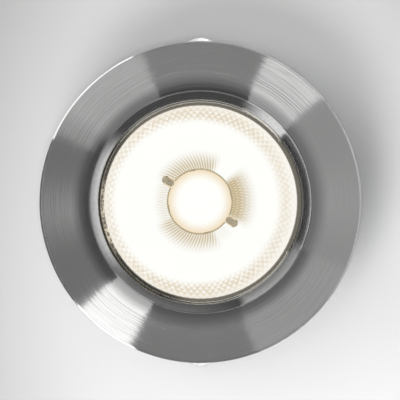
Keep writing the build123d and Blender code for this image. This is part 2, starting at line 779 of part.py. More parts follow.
nodes = {
    "bezel": make_bezel(),
    "mounting_collar": make_mounting_collar(),
    "ceiling_gasket": make_ceiling_gasket(),
    "snap_ring": make_snap_ring(),
    "front_glass": make_front_glass(),
    "reflector": make_reflector(),
    "cushion_seal": make_cushion_seal(),
    "led_board": make_led_board(),
    "led_phosphor": make_led_phosphor(),
    "led_contacts": make_led_contacts(),
    "led_holder": make_led_holder(),
    "holder_screws": make_holder_screws(),
    "thermal_pad": make_thermal_pad(),
    "led_leads": make_led_leads(),
    "heatsink": make_heatsink(),
    "heatsink_screws": make_heatsink_screws(),
    "body_seal": make_body_seal(),
    "bracket_screws": make_bracket_screws(),
    "terminal_block": make_terminal_block(),
    "terminal_screws": make_terminal_screws(),
    "rear_cover": make_rear_cover(),
    "rear_seal": make_rear_seal(),
    "rear_cover_screws": make_rear_cover_screws(),
    "gland_body": make_gland_body(),
    "gland_nut": make_gland_nut(),
    "gland_grommet": make_gland_grommet(),
}
for side, letter in enumerate("ab"):
    nodes["clip_bracket_" + letter] = on_side(make_clip_bracket(), side)
    nodes["clip_pin_" + letter] = on_side(make_clip_pin(), side)
    nodes["clip_spring_" + letter] = on_side(make_clip_spring(), side)
    nodes["spring_clip_" + letter] = on_side(make_spring_clip(), side)

print("spring wire's least gap to itself, mm:", round(spring_gap(), 3))
os.makedirs("parts", exist_ok=True)
for name, shape in nodes.items():
    export_step(shape, f"parts/{name}.step")
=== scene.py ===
"""Looks of a round recessed downlight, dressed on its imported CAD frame.

In the classes below sizes are in millimetres and angles in degrees. They become metres and radians where
a mesh or a node is made. The light's axis is Z, the ceiling is the plane z = 0 and the light shines
towards -Z.
"""

import json
import logging
import math
from dataclasses import dataclass
from enum import Enum
from typing import Optional, Sequence, Union

import bmesh
import bpy
import numpy as np
from mathutils import Matrix, Vector

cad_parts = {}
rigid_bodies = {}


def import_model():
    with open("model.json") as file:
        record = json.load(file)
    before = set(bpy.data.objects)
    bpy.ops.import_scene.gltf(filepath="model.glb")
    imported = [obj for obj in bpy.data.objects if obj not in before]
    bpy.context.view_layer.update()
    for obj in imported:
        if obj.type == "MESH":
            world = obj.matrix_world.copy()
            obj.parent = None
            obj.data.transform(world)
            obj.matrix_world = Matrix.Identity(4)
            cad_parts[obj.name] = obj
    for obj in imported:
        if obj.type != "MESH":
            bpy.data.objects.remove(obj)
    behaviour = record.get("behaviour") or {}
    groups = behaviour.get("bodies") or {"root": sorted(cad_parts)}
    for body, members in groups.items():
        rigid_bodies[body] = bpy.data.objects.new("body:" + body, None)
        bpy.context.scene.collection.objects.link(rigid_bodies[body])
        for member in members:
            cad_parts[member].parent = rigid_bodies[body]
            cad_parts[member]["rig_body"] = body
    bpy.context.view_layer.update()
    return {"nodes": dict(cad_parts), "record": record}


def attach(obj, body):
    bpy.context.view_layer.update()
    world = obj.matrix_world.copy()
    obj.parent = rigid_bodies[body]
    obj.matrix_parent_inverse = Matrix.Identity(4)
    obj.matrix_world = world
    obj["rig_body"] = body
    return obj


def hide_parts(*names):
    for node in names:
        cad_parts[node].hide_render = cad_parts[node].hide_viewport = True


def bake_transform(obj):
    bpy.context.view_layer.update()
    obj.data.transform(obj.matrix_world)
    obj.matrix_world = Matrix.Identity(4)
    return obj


Colour = tuple[float, float, float]
Span = tuple[float, float]
Point2 = tuple[float, float]
Point3 = tuple[float, float, float]
Sector = tuple[float, float, float]
Material = bpy.types.Material
Mesh = bpy.types.Mesh
Piece = bpy.types.Object
Socket = bpy.types.NodeSocket
Tree = bpy.types.NodeTree
Feed = Union[bool, float, tuple, "Signal"]

LOG = logging.getLogger("downlight")
MM = 0.001
FULL_TURN = 2.0 * math.pi
HOUSING = "housing"
BLACK: Colour = (0.0, 0.0, 0.0)
WHITE: Colour = (1.0, 1.0, 1.0)
# Most values of a noise texture lie in this span.
NOISE_SPAN: Span = (0.3, 0.7)


class Side(Enum):
    """The two spring clips: each one's letter, and its way along Y."""

    A = ("a", -1)
    B = ("b", 1)

    @property
    def letter(self) -> str:
        """Letter at the end of the clip's node names."""
        return self.value[0]

    @property
    def way(self) -> int:
        """Sign of the clip's place along Y."""
        return self.value[1]


class Signal:
    """A node's output that can be reckoned with: each step adds a node to its sheet."""

    def __init__(self, sheet: "NodeSheet", socket: Socket) -> None:
        """Keeps an output and the sheet that it is on."""
        self.sheet, self.socket = sheet, socket

    def math(self, operation: str, *others: Feed) -> "Signal":
        """Result of a Math node with this value first."""
        return self.sheet.math(operation, self, *others)

    def __add__(self, other: Feed) -> "Signal":
        """Sum."""
        return self.math("ADD", other)

    def __sub__(self, other: Feed) -> "Signal":
        """Difference."""
        return self.math("SUBTRACT", other)

    def __rsub__(self, other: float) -> "Signal":
        """A number less this value."""
        return self.sheet.math("SUBTRACT", other, self)

    def __mul__(self, other: Feed) -> "Signal":
        """Product."""
        return self.math("MULTIPLY", other)

    def __truediv__(self, other: Feed) -> "Signal":
        """Quotient."""
        return self.math("DIVIDE", other)

    def sine(self) -> "Signal":
        """Sine of an angle in radians."""
        return self.math("SINE")

    def cosine(self) -> "Signal":
        """Cosine of an angle in radians."""
        return self.math("COSINE")

    def at_least(self, other: Feed) -> "Signal":
        """The larger of two values."""
        return self.math("MAXIMUM", other)

    def ramp(self, span: tuple[Feed, Feed], start: Feed = 0.0, end: Feed = 1.0) -> "Signal":
        """Smooth step of this value.

        Args:
            span: the values where the step starts and ends.
            start: result at and below the first.
            end: result at and above the second.

        Returns:
            The step.
        """
        feeds = dict(enumerate((self, *span, start, end)))
        return self.sheet.node("ShaderNodeMapRange", feeds, interpolation_type="SMOOTHSTEP")

    def siblings(self) -> dict[str, "Signal"]:
        """All outputs of the same node, by their names."""
        return {socket.name: Signal(self.sheet, socket) for socket in self.socket.node.outputs}


class NodeSheet:
    """A node tree under construction, with short ways to add and join nodes."""

    def __init__(self, tree: Tree) -> None:
        """Starts on an existing tree."""
        self.tree = tree

    def feed(self, socket: Socket, value: Feed) -> None:
        """Links an output to an input, or sets the input's own value.

        Args:
            socket: the input.
            value: an output, or a plain value.
        """
        if isinstance(value, Signal):
            self.tree.links.new(value.socket, socket)
        else:
            socket.default_value = value

    def node(
        self, kind: str, feeds: Optional[dict] = None, output: Union[int, str] = 0, **settings: object
    ) -> Signal:
        """Adds a node.

        Args:
            kind: Blender's name of the node type.
            feeds: what goes into its inputs, by their names or numbers.
            output: the wanted output, by its name or number.
            settings: properties to set on the node.

        Returns:
            The wanted output.
        """
        made = self.tree.nodes.new(kind)
        for name, value in settings.items():
            setattr(made, name, value)
        for key, value in (feeds or {}).items():
            self.feed(made.inputs[key], value)
        return Signal(self, made.outputs[output])

    def math(self, operation: str, *values: Feed) -> Signal:
        """Result of a Math node on the given values."""
        return self.node("ShaderNodeMath", dict(enumerate(values)), operation=operation)

    def mix(self, share: Feed, first: Feed, second: Feed) -> Signal:
        """Mixes two colours.

        Args:
            share: how much of the second there is.
            first: a colour, or an output that gives one.
            second: another.

        Returns:
            The mixed colour.
        """
        made = self.tree.nodes.new("ShaderNodeMix")
        made.data_type = "RGBA"
        sockets = {socket.identifier: socket for socket in (*made.inputs, *made.outputs)}
        for name, value in (("Factor_Float", share), ("A_Color", first), ("B_Color", second)):
            self.feed(sockets[name], opaque(value) if isinstance(value, tuple) else value)
        return Signal(self, sockets["Result_Color"])

    def tint(self, tone: Feed, colour: Colour) -> Signal:
        """A colour, darkened by a tone from 0 to 1."""
        return self.mix(tone, BLACK, colour)

    def either(self, share: Feed, first: Signal, second: Signal) -> Signal:
        """Two shaders, mixed by the share of the second."""
        return self.node("ShaderNodeMixShader", {0: share, 1: first, 2: second})

    def place(self, kind: str = "Object") -> Signal:
        """Texture coordinates of one kind."""
        return self.node("ShaderNodeTexCoord", output=kind)

    def split(self, spot: Signal) -> list[Signal]:
        """X, Y and Z of a vector."""
        return list(self.node("ShaderNodeSeparateXYZ", {0: spot}).siblings().values())

    def join(self, x: Feed, y: Feed, z: Feed = 0.0) -> Signal:
        """Vector of X, Y and Z."""
        return self.node("ShaderNodeCombineXYZ", {0: x, 1: y, 2: z})

    def noise(self, spot: Signal, scale: Feed, detail: float = 2.0, roughness: float = 0.5) -> Signal:
        """Noise texture at a place, with its scale, its octaves and their share."""
        feeds = {"Vector": spot, "Scale": scale, "Detail": detail, "Roughness": roughness}
        return self.node("ShaderNodeTexNoise", feeds, "Fac")

    def group(self, tree: Tree, **values: Feed) -> dict[str, Signal]:
        """Outputs of a node group that is placed with these inputs, named with _ for a space."""
        feeds = {name.replace("_", " "): value for name, value in values.items()}
        return self.node("ShaderNodeGroup", feeds, node_tree=tree).siblings()


def opaque(colour: Sequence[float]) -> tuple[float, ...]:
    """Colour with its alpha."""
    return tuple(colour[:3]) + (1.0,)


def in_radians(*degrees: float) -> tuple[float, ...]:
    """Angles in radians."""
    return tuple(math.radians(angle) for angle in degrees)


class GroupSheet(NodeSheet):
    """A node group under construction: its inputs by name, and a way to feed its outputs."""

    def __init__(self, name: str, kind: str, inputs: dict[str, tuple], outputs: dict[str, str]) -> None:
        """Starts the group.

        Args:
            name: the group's name.
            kind: Blender's name of the tree type.
            inputs: names of the inputs, each with its socket type and a default where it has one.
            outputs: names of the outputs, each with its socket type.
        """
        super().__init__(bpy.data.node_groups.new(name, kind))
        sockets = self.tree.interface
        for label, (socket, *default) in inputs.items():
            made = sockets.new_socket(label, in_out="INPUT", socket_type=socket)
            if default:
                made.default_value = default[0]
        for label, socket in outputs.items():
            sockets.new_socket(label, in_out="OUTPUT", socket_type=socket)
        source = self.tree.nodes.new("NodeGroupInput").outputs
        self.source = {socket.name: Signal(self, socket) for socket in source}
        self.ends = self.tree.nodes.new("NodeGroupOutput").inputs

    def put(self, label: str, value: Feed) -> None:
        """Feeds one of the group's outputs."""
        self.feed(self.ends[label], value)


class Effects:
    """Shader node groups that several finishes share."""

    def __init__(self) -> None:
        """Builds the groups once."""
        self.polar = self.make_polar()
        self.sector = self.make_sector()
        self.grain = self.make_grain()

    @staticmethod
    def start(name: str, inputs: dict[str, float], outputs: Sequence[str]) -> GroupSheet:
        """Starts a shader node group of plain numbers.

        Args:
            name: the group's name.
            inputs: names of the inputs, with their defaults.
            outputs: names of the outputs.

        Returns:
            A sheet on the group's tree.
        """
        number = "NodeSocketFloat"
        numbers = {label: (number, value) for label, value in inputs.items()}
        return GroupSheet(name, "ShaderNodeTree", numbers, {label: number for label in outputs})

    def make_polar(self) -> Tree:
        """Builds the group of places round Z.

        Returns:
            A group that gives radius and height in millimetres, and the angle round Z in radians.
        """
        sheet = self.start("polar place", {}, ("Radius", "Angle", "Height"))
        x, y, z = sheet.split(sheet.place())
        sheet.put("Radius", (x * x + y * y).math("SQRT") / MM)
        sheet.put("Angle", y.math("ARCTAN2", x))
        sheet.put("Height", z / MM)
        return sheet.tree

    def make_sector(self) -> Tree:
        """Builds the group of sectors round Z.

        Returns:
            A group that is 1 inside a sector and 0 outside it, with soft sides.
        """
        inputs = {"Angle": 0.0, "Middle": 0.0, "Half Width": 0.5, "Soft": 0.1}
        sheet = self.start("sector", inputs, ("Mask",))
        angle, middle, half, soft = (sheet.source[label] for label in inputs)
        away = (angle - middle).cosine().math("ARCCOSINE")
        sheet.put("Mask", away.ramp((half - soft, half + soft), 1.0, 0.0))
        return sheet.tree

    def make_grain(self) -> Tree:
        """Builds the group of grain.

        Returns:
            A group of fine even grain and broad blotches, for cast, moulded, rubber and metal skins.
        """
        sheet = self.start("grain", {"Scale": 4000.0}, ("Fine", "Broad"))
        place = sheet.place()
        for label, share, detail in (("Fine", 1.0, 2.0), ("Broad", 0.06, 3.0)):
            sheet.put(label, sheet.noise(place, sheet.source["Scale"] * share, detail))
        return sheet.tree


class MaterialSheet(NodeSheet):
    """A new material's node tree, with its Principled shader and the shared effects at hand."""

    def __init__(self, name: str, effects: Effects) -> None:
        """Starts the material.

        Args:
            name: the material's name.
            effects: the shared node groups.
        """
        self.material = bpy.data.materials.new(name)
        self.material.use_nodes = True
        super().__init__(self.material.node_tree)
        self.effects = effects
        principled = self.tree.nodes["Principled BSDF"]
        self.skin = principled.inputs
        self.shader = Signal(self, principled.outputs[0])

    def paint(self, **values: Feed) -> None:
        """Feeds the Principled shader's inputs, named with _ for a space."""
        for name, value in values.items():
            self.feed(self.skin[name.replace("_", " ")], value)

    def surface(self, shader: Signal) -> None:
        """Makes a shader the material's surface."""
        self.feed(self.tree.nodes["Material Output"].inputs["Surface"], shader)

    def polar(self) -> dict[str, Signal]:
        """Radius, Angle and Height of the surface."""
        return self.group(self.effects.polar)

    def grain(self, scale: float) -> dict[str, Signal]:
        """Fine grain and Broad blotches of one scale."""
        return self.group(self.effects.grain, Scale=scale)

    def sector(self, angle: Signal, middle: float, half: float, soft: float) -> Signal:
        """Mask of a sector round Z, with its middle, half its width and its softness in degrees."""
        sizes = dict(zip(("Middle", "Half_Width", "Soft"), in_radians(middle, half, soft)))
        return self.group(self.effects.sector, Angle=angle, **sizes)["Mask"]

    def bump(self, height: Signal, strength: float, depth: float, **more: Signal) -> Signal:
        """Normal of a surface with bumps of this depth in millimetres."""
        feeds = {"Height": height, "Strength": strength, "Distance": depth * MM, **more}
        return self.node("ShaderNodeBump", feeds)


class Finish:
    """Base of the finishes: makes a material with one Principled shader, which a subclass wires."""

    name: str

    def material(self, effects: Effects) -> Material:
        """Builds the finish's material.

        Args:
            effects: the shared node groups.

        Returns:
            The material.
        """
        sheet = MaterialSheet(self.name, effects)
        self.wire(sheet)
        return sheet.material

    def wire(self, sheet: MaterialSheet) -> None:
        """Wires the Principled shader's inputs."""
        raise NotImplementedError


@dataclass(frozen=True)
class Grained(Finish):
    """Skin with fine grain: cast metal, moulded plastic, rubber, foam or silicone."""

    name: str
    colour: Colour
    roughness: float
    metallic: float = 0.0
    grain: float = 4000.0
    bump: float = 0.3
    blotch: float = 0.12
    bump_depth: float = 0.05
    polish_spread: float = 0.12
    blotch_span: Span = (0.2, 0.8)

    def wire(self, sheet: MaterialSheet) -> None:
        """Varies colour and roughness in broad blotches and roughens the surface with fine grain.

        Args:
            sheet: the new material.
        """
        grain = sheet.grain(self.grain)
        dark = tuple(c * (1.0 - self.blotch) for c in self.colour)
        pale = tuple(min(1.0, c * (1.0 + self.blotch)) for c in self.colour)
        low, high = (self.roughness * (1.0 + way * self.polish_spread) for way in (-1, 1))
        sheet.paint(
            Base_Color=sheet.mix(grain["Broad"], dark, pale),
            Roughness=grain["Broad"].ramp(self.blotch_span, low, high),
            Metallic=self.metallic,
            Normal=sheet.bump(grain["Fine"], self.bump, self.bump_depth),
        )


@dataclass(frozen=True)
class TurnedMetal(Finish):
    """Lathe-brushed metal: fine circular scratches stretch each highlight along the radius."""

    name: str = "brushed bezel"
    colour: Colour = (0.66, 0.66, 0.655)
    roughness: float = 0.11
    polish_spread: float = 0.1
    stretch_turn: float = 0.25
    bevel_radius: float = 27.45
    painted_bevel_shade: float = 0.8
    bevel_mottle: float = 0.05
    mottle_scale: float = 1200.0
    crest_radius: float = 27.7
    painted_crest_shade: float = 0.52
    crest_land: float = 0.3
    shoulder_radius: float = 32.3
    fine_lines: float = 3.2
    fine_detail: float = 5.0
    fine_shade: Span = (0.98, 1.015)
    coarse_lines: float = 2.1
    coarse_detail: float = 2.0
    coarse_shade: float = 0.28
    line_length: float = 1.6
    line_roughness: float = 0.65
    wander: float = 0.075
    groove: float = 0.05
    groove_strength: float = 0.8
    groove_run: float = 1.6
    groove_at_crest: float = 0.12

    def wire(self, sheet: MaterialSheet) -> None:
        """Stretches the highlights, paints shade and cuts fine circles, shallow next to the crest.

        Args:
            sheet: the new material.
        """
        polar = sheet.polar()
        radius, angle = polar["Radius"], polar["Angle"]
        fine = self.scratches(sheet, radius, angle, self.fine_lines, self.fine_detail)
        coarse = self.scratches(sheet, radius, angle, self.coarse_lines, self.coarse_detail) - 0.5
        normal = sheet.node("ShaderNodeNewGeometry", output="Normal")
        swing = {"Vector": normal, "Angle": (fine - 0.5) * self.wander}
        swung = sheet.node("ShaderNodeVectorRotate", swing, rotation_type="Z_AXIS")
        cut = (self.crest_radius + self.crest_land, self.crest_radius + self.groove_run)
        relief = coarse * radius.ramp(cut, self.groove_at_crest, 1.0)
        low, high = (self.roughness * (1.0 + way * self.polish_spread) for way in (-1, 1))
        sheet.paint(
            Base_Color=sheet.tint(self.shade(sheet, radius, fine, coarse), self.colour),
            Roughness=fine.ramp(NOISE_SPAN, low, high),
            Metallic=1.0,
            Anisotropic=1.0,
            Anisotropic_Rotation=self.stretch_turn,
            Tangent=sheet.node("ShaderNodeTangent", direction_type="RADIAL", axis="Z"),
            Normal=sheet.bump(relief, self.groove_strength, self.groove, Normal=swung),
        )

    def shade(self, sheet: MaterialSheet, radius: Signal, fine: Signal, coarse: Signal) -> Signal:
        """Paints shade: darker towards the crest and on the bevel, which is mottled, with faint lines
        between.

        Args:
            sheet: the material.
            radius: distance from the axis.
            fine: the fine scratches, from 0 to 1.
            coarse: the coarse scratches, about 0.

        Returns:
            The share of the metal's colour that shows.
        """
        # Painted shade: the colour darkens towards the crest.
        shade = radius.ramp((self.crest_radius, self.shoulder_radius), self.painted_crest_shade, 1.0)
        # Painted shade: the bevel is darker than the flange, and mottled.
        low, high = (self.painted_bevel_shade * (1.0 + way * self.bevel_mottle) for way in (-1, 1))
        mottle = sheet.grain(self.mottle_scale)["Fine"].ramp(NOISE_SPAN, low, high)
        shade = shade.at_least(radius.math("LESS_THAN", self.bevel_radius) * mottle)
        shade = shade * fine.ramp(NOISE_SPAN, *self.fine_shade)
        lined = (self.crest_radius + self.crest_land, self.shoulder_radius)
        return shade * (coarse * radius.ramp(lined, self.coarse_shade, 0.0)) + shade

    def scratches(
        self, sheet: MaterialSheet, radius: Signal, angle: Signal, lines: float, detail: float
    ) -> Signal:
        """Noise that is drawn out round the turn.

        Args:
            sheet: the material.
            radius: distance from the axis.
            angle: angle round the axis.
            lines: lines to a millimetre of the radius.
            detail: octaves of the noise.

        Returns:
            The noise.
        """
        turn = (swing * self.line_length for swing in (angle.cosine(), angle.sine()))
        return sheet.noise(sheet.join(radius * lines, *turn), 1.0, detail, self.line_roughness)


@dataclass(frozen=True)
class DrawnMetal(Finish):
    """Bright plain metal with faint draw marks: wire, sheet and screws."""

    name: str
    colour: Colour
    roughness: float
    marks: float = 900.0
    metallic: float = 1.0
    dull_share: float = 0.9
    polish_spread: Span = (0.8, 1.3)
    bump: float = 0.08
    bump_depth: float = 0.02

    def wire(self, sheet: MaterialSheet) -> None:
        """Varies the roughness and tone slightly over the piece.

        Args:
            sheet: the new material.
        """
        grain = sheet.grain(self.marks)
        dull = tuple(c * self.dull_share for c in self.colour)
        low, high = (share * self.roughness for share in self.polish_spread)
        sheet.paint(
            Base_Color=sheet.mix(grain["Broad"], dull, self.colour),
            Roughness=grain["Fine"].ramp(NOISE_SPAN, low, high),
            Metallic=self.metallic,
            Normal=sheet.bump(grain["Fine"], self.bump, self.bump_depth),
        )


@dataclass(frozen=True)
class SectorShadedWire(Finish):
    """Spring wire with painted shade over one sector: its middle, half its width and its softness."""

    name: str = "tarnished wire"
    bright: Colour = (0.60, 0.585, 0.54)
    dark: Colour = (0.10, 0.09, 0.065)
    sector: Sector = (162.0, 60.0, 14.0)
    marks: float = 900.0
    roughness: Span = (0.08, 0.15)

    def wire(self, sheet: MaterialSheet) -> None:
        """Paints shade over the sector and dulls the wire slightly.

        Args:
            sheet: the new material.
        """
        # Painted shade over one sector of the wire.
        wire_shade_mask = sheet.sector(sheet.polar()["Angle"], *self.sector)
        sheet.paint(
            Base_Color=sheet.mix(wire_shade_mask, self.bright, self.dark),
            Roughness=sheet.grain(self.marks)["Fine"].ramp(NOISE_SPAN, *self.roughness),
            Metallic=1.0,
        )


@dataclass(frozen=True)
class ClearGlass(Finish):
    """Clear front glass with a trace of green and a few faint smears."""

    name: str = "clear glass"
    tint: Colour = (0.985, 0.995, 0.99)
    smears: float = 1500.0
    smear_span: Span = (0.4, 0.9)
    roughness: Span = (0.0, 0.012)
    refraction: float = 1.47

    def wire(self, sheet: MaterialSheet) -> None:
        """Lets light through and varies the polish very slightly.

        Args:
            sheet: the new material.
        """
        sheet.paint(
            Base_Color=opaque(self.tint),
            Roughness=sheet.grain(self.smears)["Broad"].ramp(self.smear_span, *self.roughness),
            Transmission_Weight=1.0,
            IOR=self.refraction,
        )


@dataclass(frozen=True)
class RimZone:
    """Painted cream reflections on the outer facets: a dotted band, further in on the +X side than the -X
    side.
    """

    middle: float = 22.5
    lean: float = 1.0
    pinch: float = 0.2
    inner_run: float = 2.7
    outer_run: float = 2.4
    outer_share: float = 0.5
    weight: float = 0.86
    weight_along_y: float = 0.42
    facet_span: Span = (0.15, 0.78)
    facet_tones: Span = (0.2, 1.06)
    mean_tone: float = 0.65
    side_span: Span = (0.3, 1.0)
    side_contrast: Span = (1.04, 0.55)
    edge_span: Span = (22.5, 23.4)
    edge_contrast: Span = (1.08, 0.5)

    def share(self, radius: Signal, angle: Signal, facets: Signal) -> Signal:
        """Finds the share of painted cream reflection. Its contrast is lower on the +X side and towards the
        rim.

        Args:
            radius: distance from the axis.
            angle: angle round the axis.
            facets: tone of each facet.

        Returns:
            The share of cream.
        """
        along_x, along_y = angle.cosine(), angle.sine().math("POWER", 2.0)
        middle = self.middle - along_x * self.lean - along_y * self.pinch
        weight = along_y * along_y * self.weight_along_y + self.weight
        inner = radius.ramp((middle - self.inner_run, middle))
        outer = radius.ramp((middle, middle + self.outer_run), 1.0, self.outer_share)
        contrast = along_x.ramp(self.side_span, *self.side_contrast)
        contrast = contrast * radius.ramp(self.edge_span, *self.edge_contrast)
        tone = facets.ramp(self.facet_span, *self.facet_tones) - self.mean_tone
        return inner * outer * (weight * (tone * contrast + self.mean_tone))


@dataclass(frozen=True)
class NeckPatch:
    """Painted tan reflection on the facets at the neck: its sector, its strength and the radius where it
    ends.
    """

    middle: float
    half: float
    weight: float
    reach: float


@dataclass(frozen=True)
class NeckZone:
    """Painted tan reflections at the neck, streaked along one slant of the lattice or, on the +X side,
    along both.
    """

    patches: tuple[NeckPatch, ...] = (
        NeckPatch(middle=-5.0, half=32.0, weight=0.78, reach=15.3),
        NeckPatch(middle=-108.5, half=42.0, weight=0.58, reach=13.8),
        NeckPatch(middle=108.5, half=43.0, weight=0.57, reach=13.9),
        NeckPatch(middle=180.0, half=32.0, weight=0.25, reach=12.6),
        NeckPatch(middle=58.0, half=14.0, weight=0.13, reach=13.0),
    )
    start: float = 9.4
    soft: float = 7.0
    slant: float = 0.75
    crossed_span: Span = (0.55, 0.88)
    crossed_tone: float = 0.68
    crossed_depth: float = 0.55
    tone: float = 0.45
    depth: float = 1.1

    def share(
        self, sheet: MaterialSheet, radius: Signal, angle: Signal, along: Signal, across: Signal
    ) -> Signal:
        """Finds the share of painted tan reflection.

        Args:
            sheet: the material.
            radius: distance from the axis.
            angle: angle round the axis.
            along: facets round the bowl.
            across: facets across the bowl.

        Returns:
            The share of tan.
        """
        total = 0.0
        for patch in self.patches:
            fade = radius.ramp((self.start, patch.reach), patch.weight, 0.0)
            total = (sheet.sector(angle, patch.middle, patch.half, self.soft) * fade).at_least(total)
        slant = across * self.slant
        up, down = wave(along + slant), wave(along - slant)
        far = angle.sine().math("GREATER_THAN", 0.0)
        slanted = up * (1.0 - far) + down * far
        crossing = angle.cosine().ramp(self.crossed_span)
        crossed = self.crossed_tone - up * down * self.crossed_depth
        streaks = slanted * (1.0 - crossing) + crossed * crossing
        return total * (streaks * self.depth + self.tone)


@dataclass(frozen=True)
class PlainRim:
    """Plain rim outside the lit facets: painted glow, shade in two sectors and glints, all on the -X side.
    """

    glow: Colour = (0.175, 0.158, 0.13)
    spark: Colour = (0.765, 0.665, 0.525)
    strength: float = 0.75
    outer_run: float = 0.8
    outer_gain: float = 1.5
    soft: float = 7.0
    painted_shade_sectors: tuple[Sector, ...] = ((127.0, 24.0, 0.75), (-154.0, 16.0, 0.55))
    spark_sector: Span = (171.0, 18.0)
    spark_pitch: Span = (1.6, 26.0)
    spark_span: Span = (0.44, 0.58)
    spark_share: float = 0.85

    def colour(self, sheet: MaterialSheet, radius: Signal, angle: Signal, mouth_radius: float) -> Signal:
        """Finds the rim's painted glow. Each sector of painted shade has its middle, half its width and its
        drop.

        Args:
            sheet: the material.
            radius: distance from the axis.
            angle: angle round the axis.
            mouth_radius: radius of the bowl's mouth, from where the glow rises outwards.

        Returns:
            The colour.
        """
        shade = 1.0
        # Painted shade over two sectors, and painted glow that rises outwards.
        for middle, half, drop in self.painted_shade_sectors:
            shade = shade - sheet.sector(angle, middle, half, self.soft) * drop
        shade = shade * radius.ramp((mouth_radius, mouth_radius + self.outer_run), 1.0, self.outer_gain)
        # Painted glints on the -X side.
        across, along = self.spark_pitch
        noise = sheet.noise(sheet.join(radius * across, angle.sine() * along), 1.0)
        sparks = sheet.sector(angle, *self.spark_sector, self.soft)
        sparks = sparks * noise.ramp(self.spark_span, 0.0, self.spark_share)
        return sheet.mix(sparks, sheet.tint(shade * self.strength, self.glow), self.spark)


def wave(turns: Signal) -> Signal:
    """Smooth wave from 0 to 1, with its top at each whole turn."""
    return (turns * FULL_TURN).cosine() * 0.5 + 0.5


@dataclass(frozen=True)
class LitFacets(Finish):
    """Metallised bowl with painted light from its neck: white between a dotted rim zone and streaks at the
    neck.
    """

    name: str = "lit mirror facets"
    white: Colour = (1.0, 0.995, 0.97)
    cream: Colour = (0.765, 0.665, 0.525)
    tan: Colour = (0.50, 0.36, 0.14)
    rim: Colour = (0.07, 0.065, 0.055)
    unlit: Colour = (0.02, 0.019, 0.017)
    lit_radius: float = 24.05
    lit_soft: float = 0.1
    neck_radius: float = 8.55
    mouth_radius: float = 24.3
    columns: int = 90
    rings: int = 18
    rim_rings: float = 1.16
    luck: float = 0.22
    glow: float = 1.02
    roughness: Span = (0.12, 0.3)
    rim_zone: RimZone = RimZone()
    neck_zone: NeckZone = NeckZone()
    plain_rim: PlainRim = PlainRim()

    def wire(self, sheet: MaterialSheet) -> None:
        """Paints glow from the facets' lattice and a dim glow on the plain rim, which is dark and glossy.

        Args:
            sheet: the new material.
        """
        polar = sheet.polar()
        radius, angle = polar["Radius"], polar["Angle"]
        along = angle * float(self.columns) / FULL_TURN
        pitch = (self.mouth_radius - self.neck_radius) / self.rings
        across = (radius - self.neck_radius) / (2.0 * pitch)
        facets = self.facet_tone(sheet, along, across * self.rim_rings)
        # Painted light: the glow stands in for the LED's light reflected by the facets, with painted
        # reflections in cream and tan.
        glow = sheet.mix(self.rim_zone.share(radius, angle, facets), self.white, self.cream)
        glow = sheet.mix(self.neck_zone.share(sheet, radius, angle, along, across), glow, self.tan)
        bowl = radius.ramp((self.lit_radius - self.lit_soft, self.lit_radius + self.lit_soft), 1.0, 0.0)
        band = self.plain_rim.colour(sheet, radius, angle, self.mouth_radius)
        dots = wave(along + across) * wave(along - across)
        sheet.paint(
            Emission_Color=sheet.mix(bowl, band, glow),
            Emission_Strength=self.glow,
            Base_Color=sheet.mix(bowl, self.rim, self.unlit),
            Metallic=1.0,
            Roughness=dots.ramp((0.0, 1.0), *self.roughness),
        )

    def facet_tone(self, sheet: MaterialSheet, along: Signal, across: Signal) -> Signal:
        """Paints each diamond facet's highlight: pale at its inner corner, darker outwards, and uneven by
        luck.

        Args:
            sheet: the material.
            along: facets round the bowl.
            across: facets across the bowl.

        Returns:
            The tone, about 0.5.
        """
        one, two = along + across, along - across
        cell = sheet.join(one.math("FLOOR"), two.math("FLOOR"))
        luck = sheet.node("ShaderNodeTexWhiteNoise", {"Vector": cell}, "Value", noise_dimensions="2D")
        shift = luck * self.luck + (1.0 - self.luck) / 2.0
        return (one.math("FRACT") - two.math("FRACT")) * 0.5 + shift


@dataclass(frozen=True)
class LitPhosphor(Finish):
    """Phosphor layer, white in its middle and cream towards its edge."""

    name: str = "lit phosphor"
    white: Colour = (1.0, 1.0, 0.985)
    cream: Colour = (0.84, 0.68, 0.45)
    base: Colour = (0.06, 0.05, 0.03)
    pale_share: float = 1.15
    fade: Span = (5.0, 9.0)
    glow: float = 1.0
    grain: float = 3000.0
    roughness: float = 0.6

    def wire(self, sheet: MaterialSheet) -> None:
        """Fades the glow's colour along the radius.

        Args:
            sheet: the new material.
        """
        pale = tuple(self.pale_share * c for c in self.base)
        sheet.paint(
            Emission_Color=sheet.mix(sheet.polar()["Radius"].ramp(self.fade), self.white, self.cream),
            Emission_Strength=self.glow,
            Base_Color=sheet.mix(sheet.grain(self.grain)["Fine"], self.base, pale),
            Roughness=self.roughness,
        )


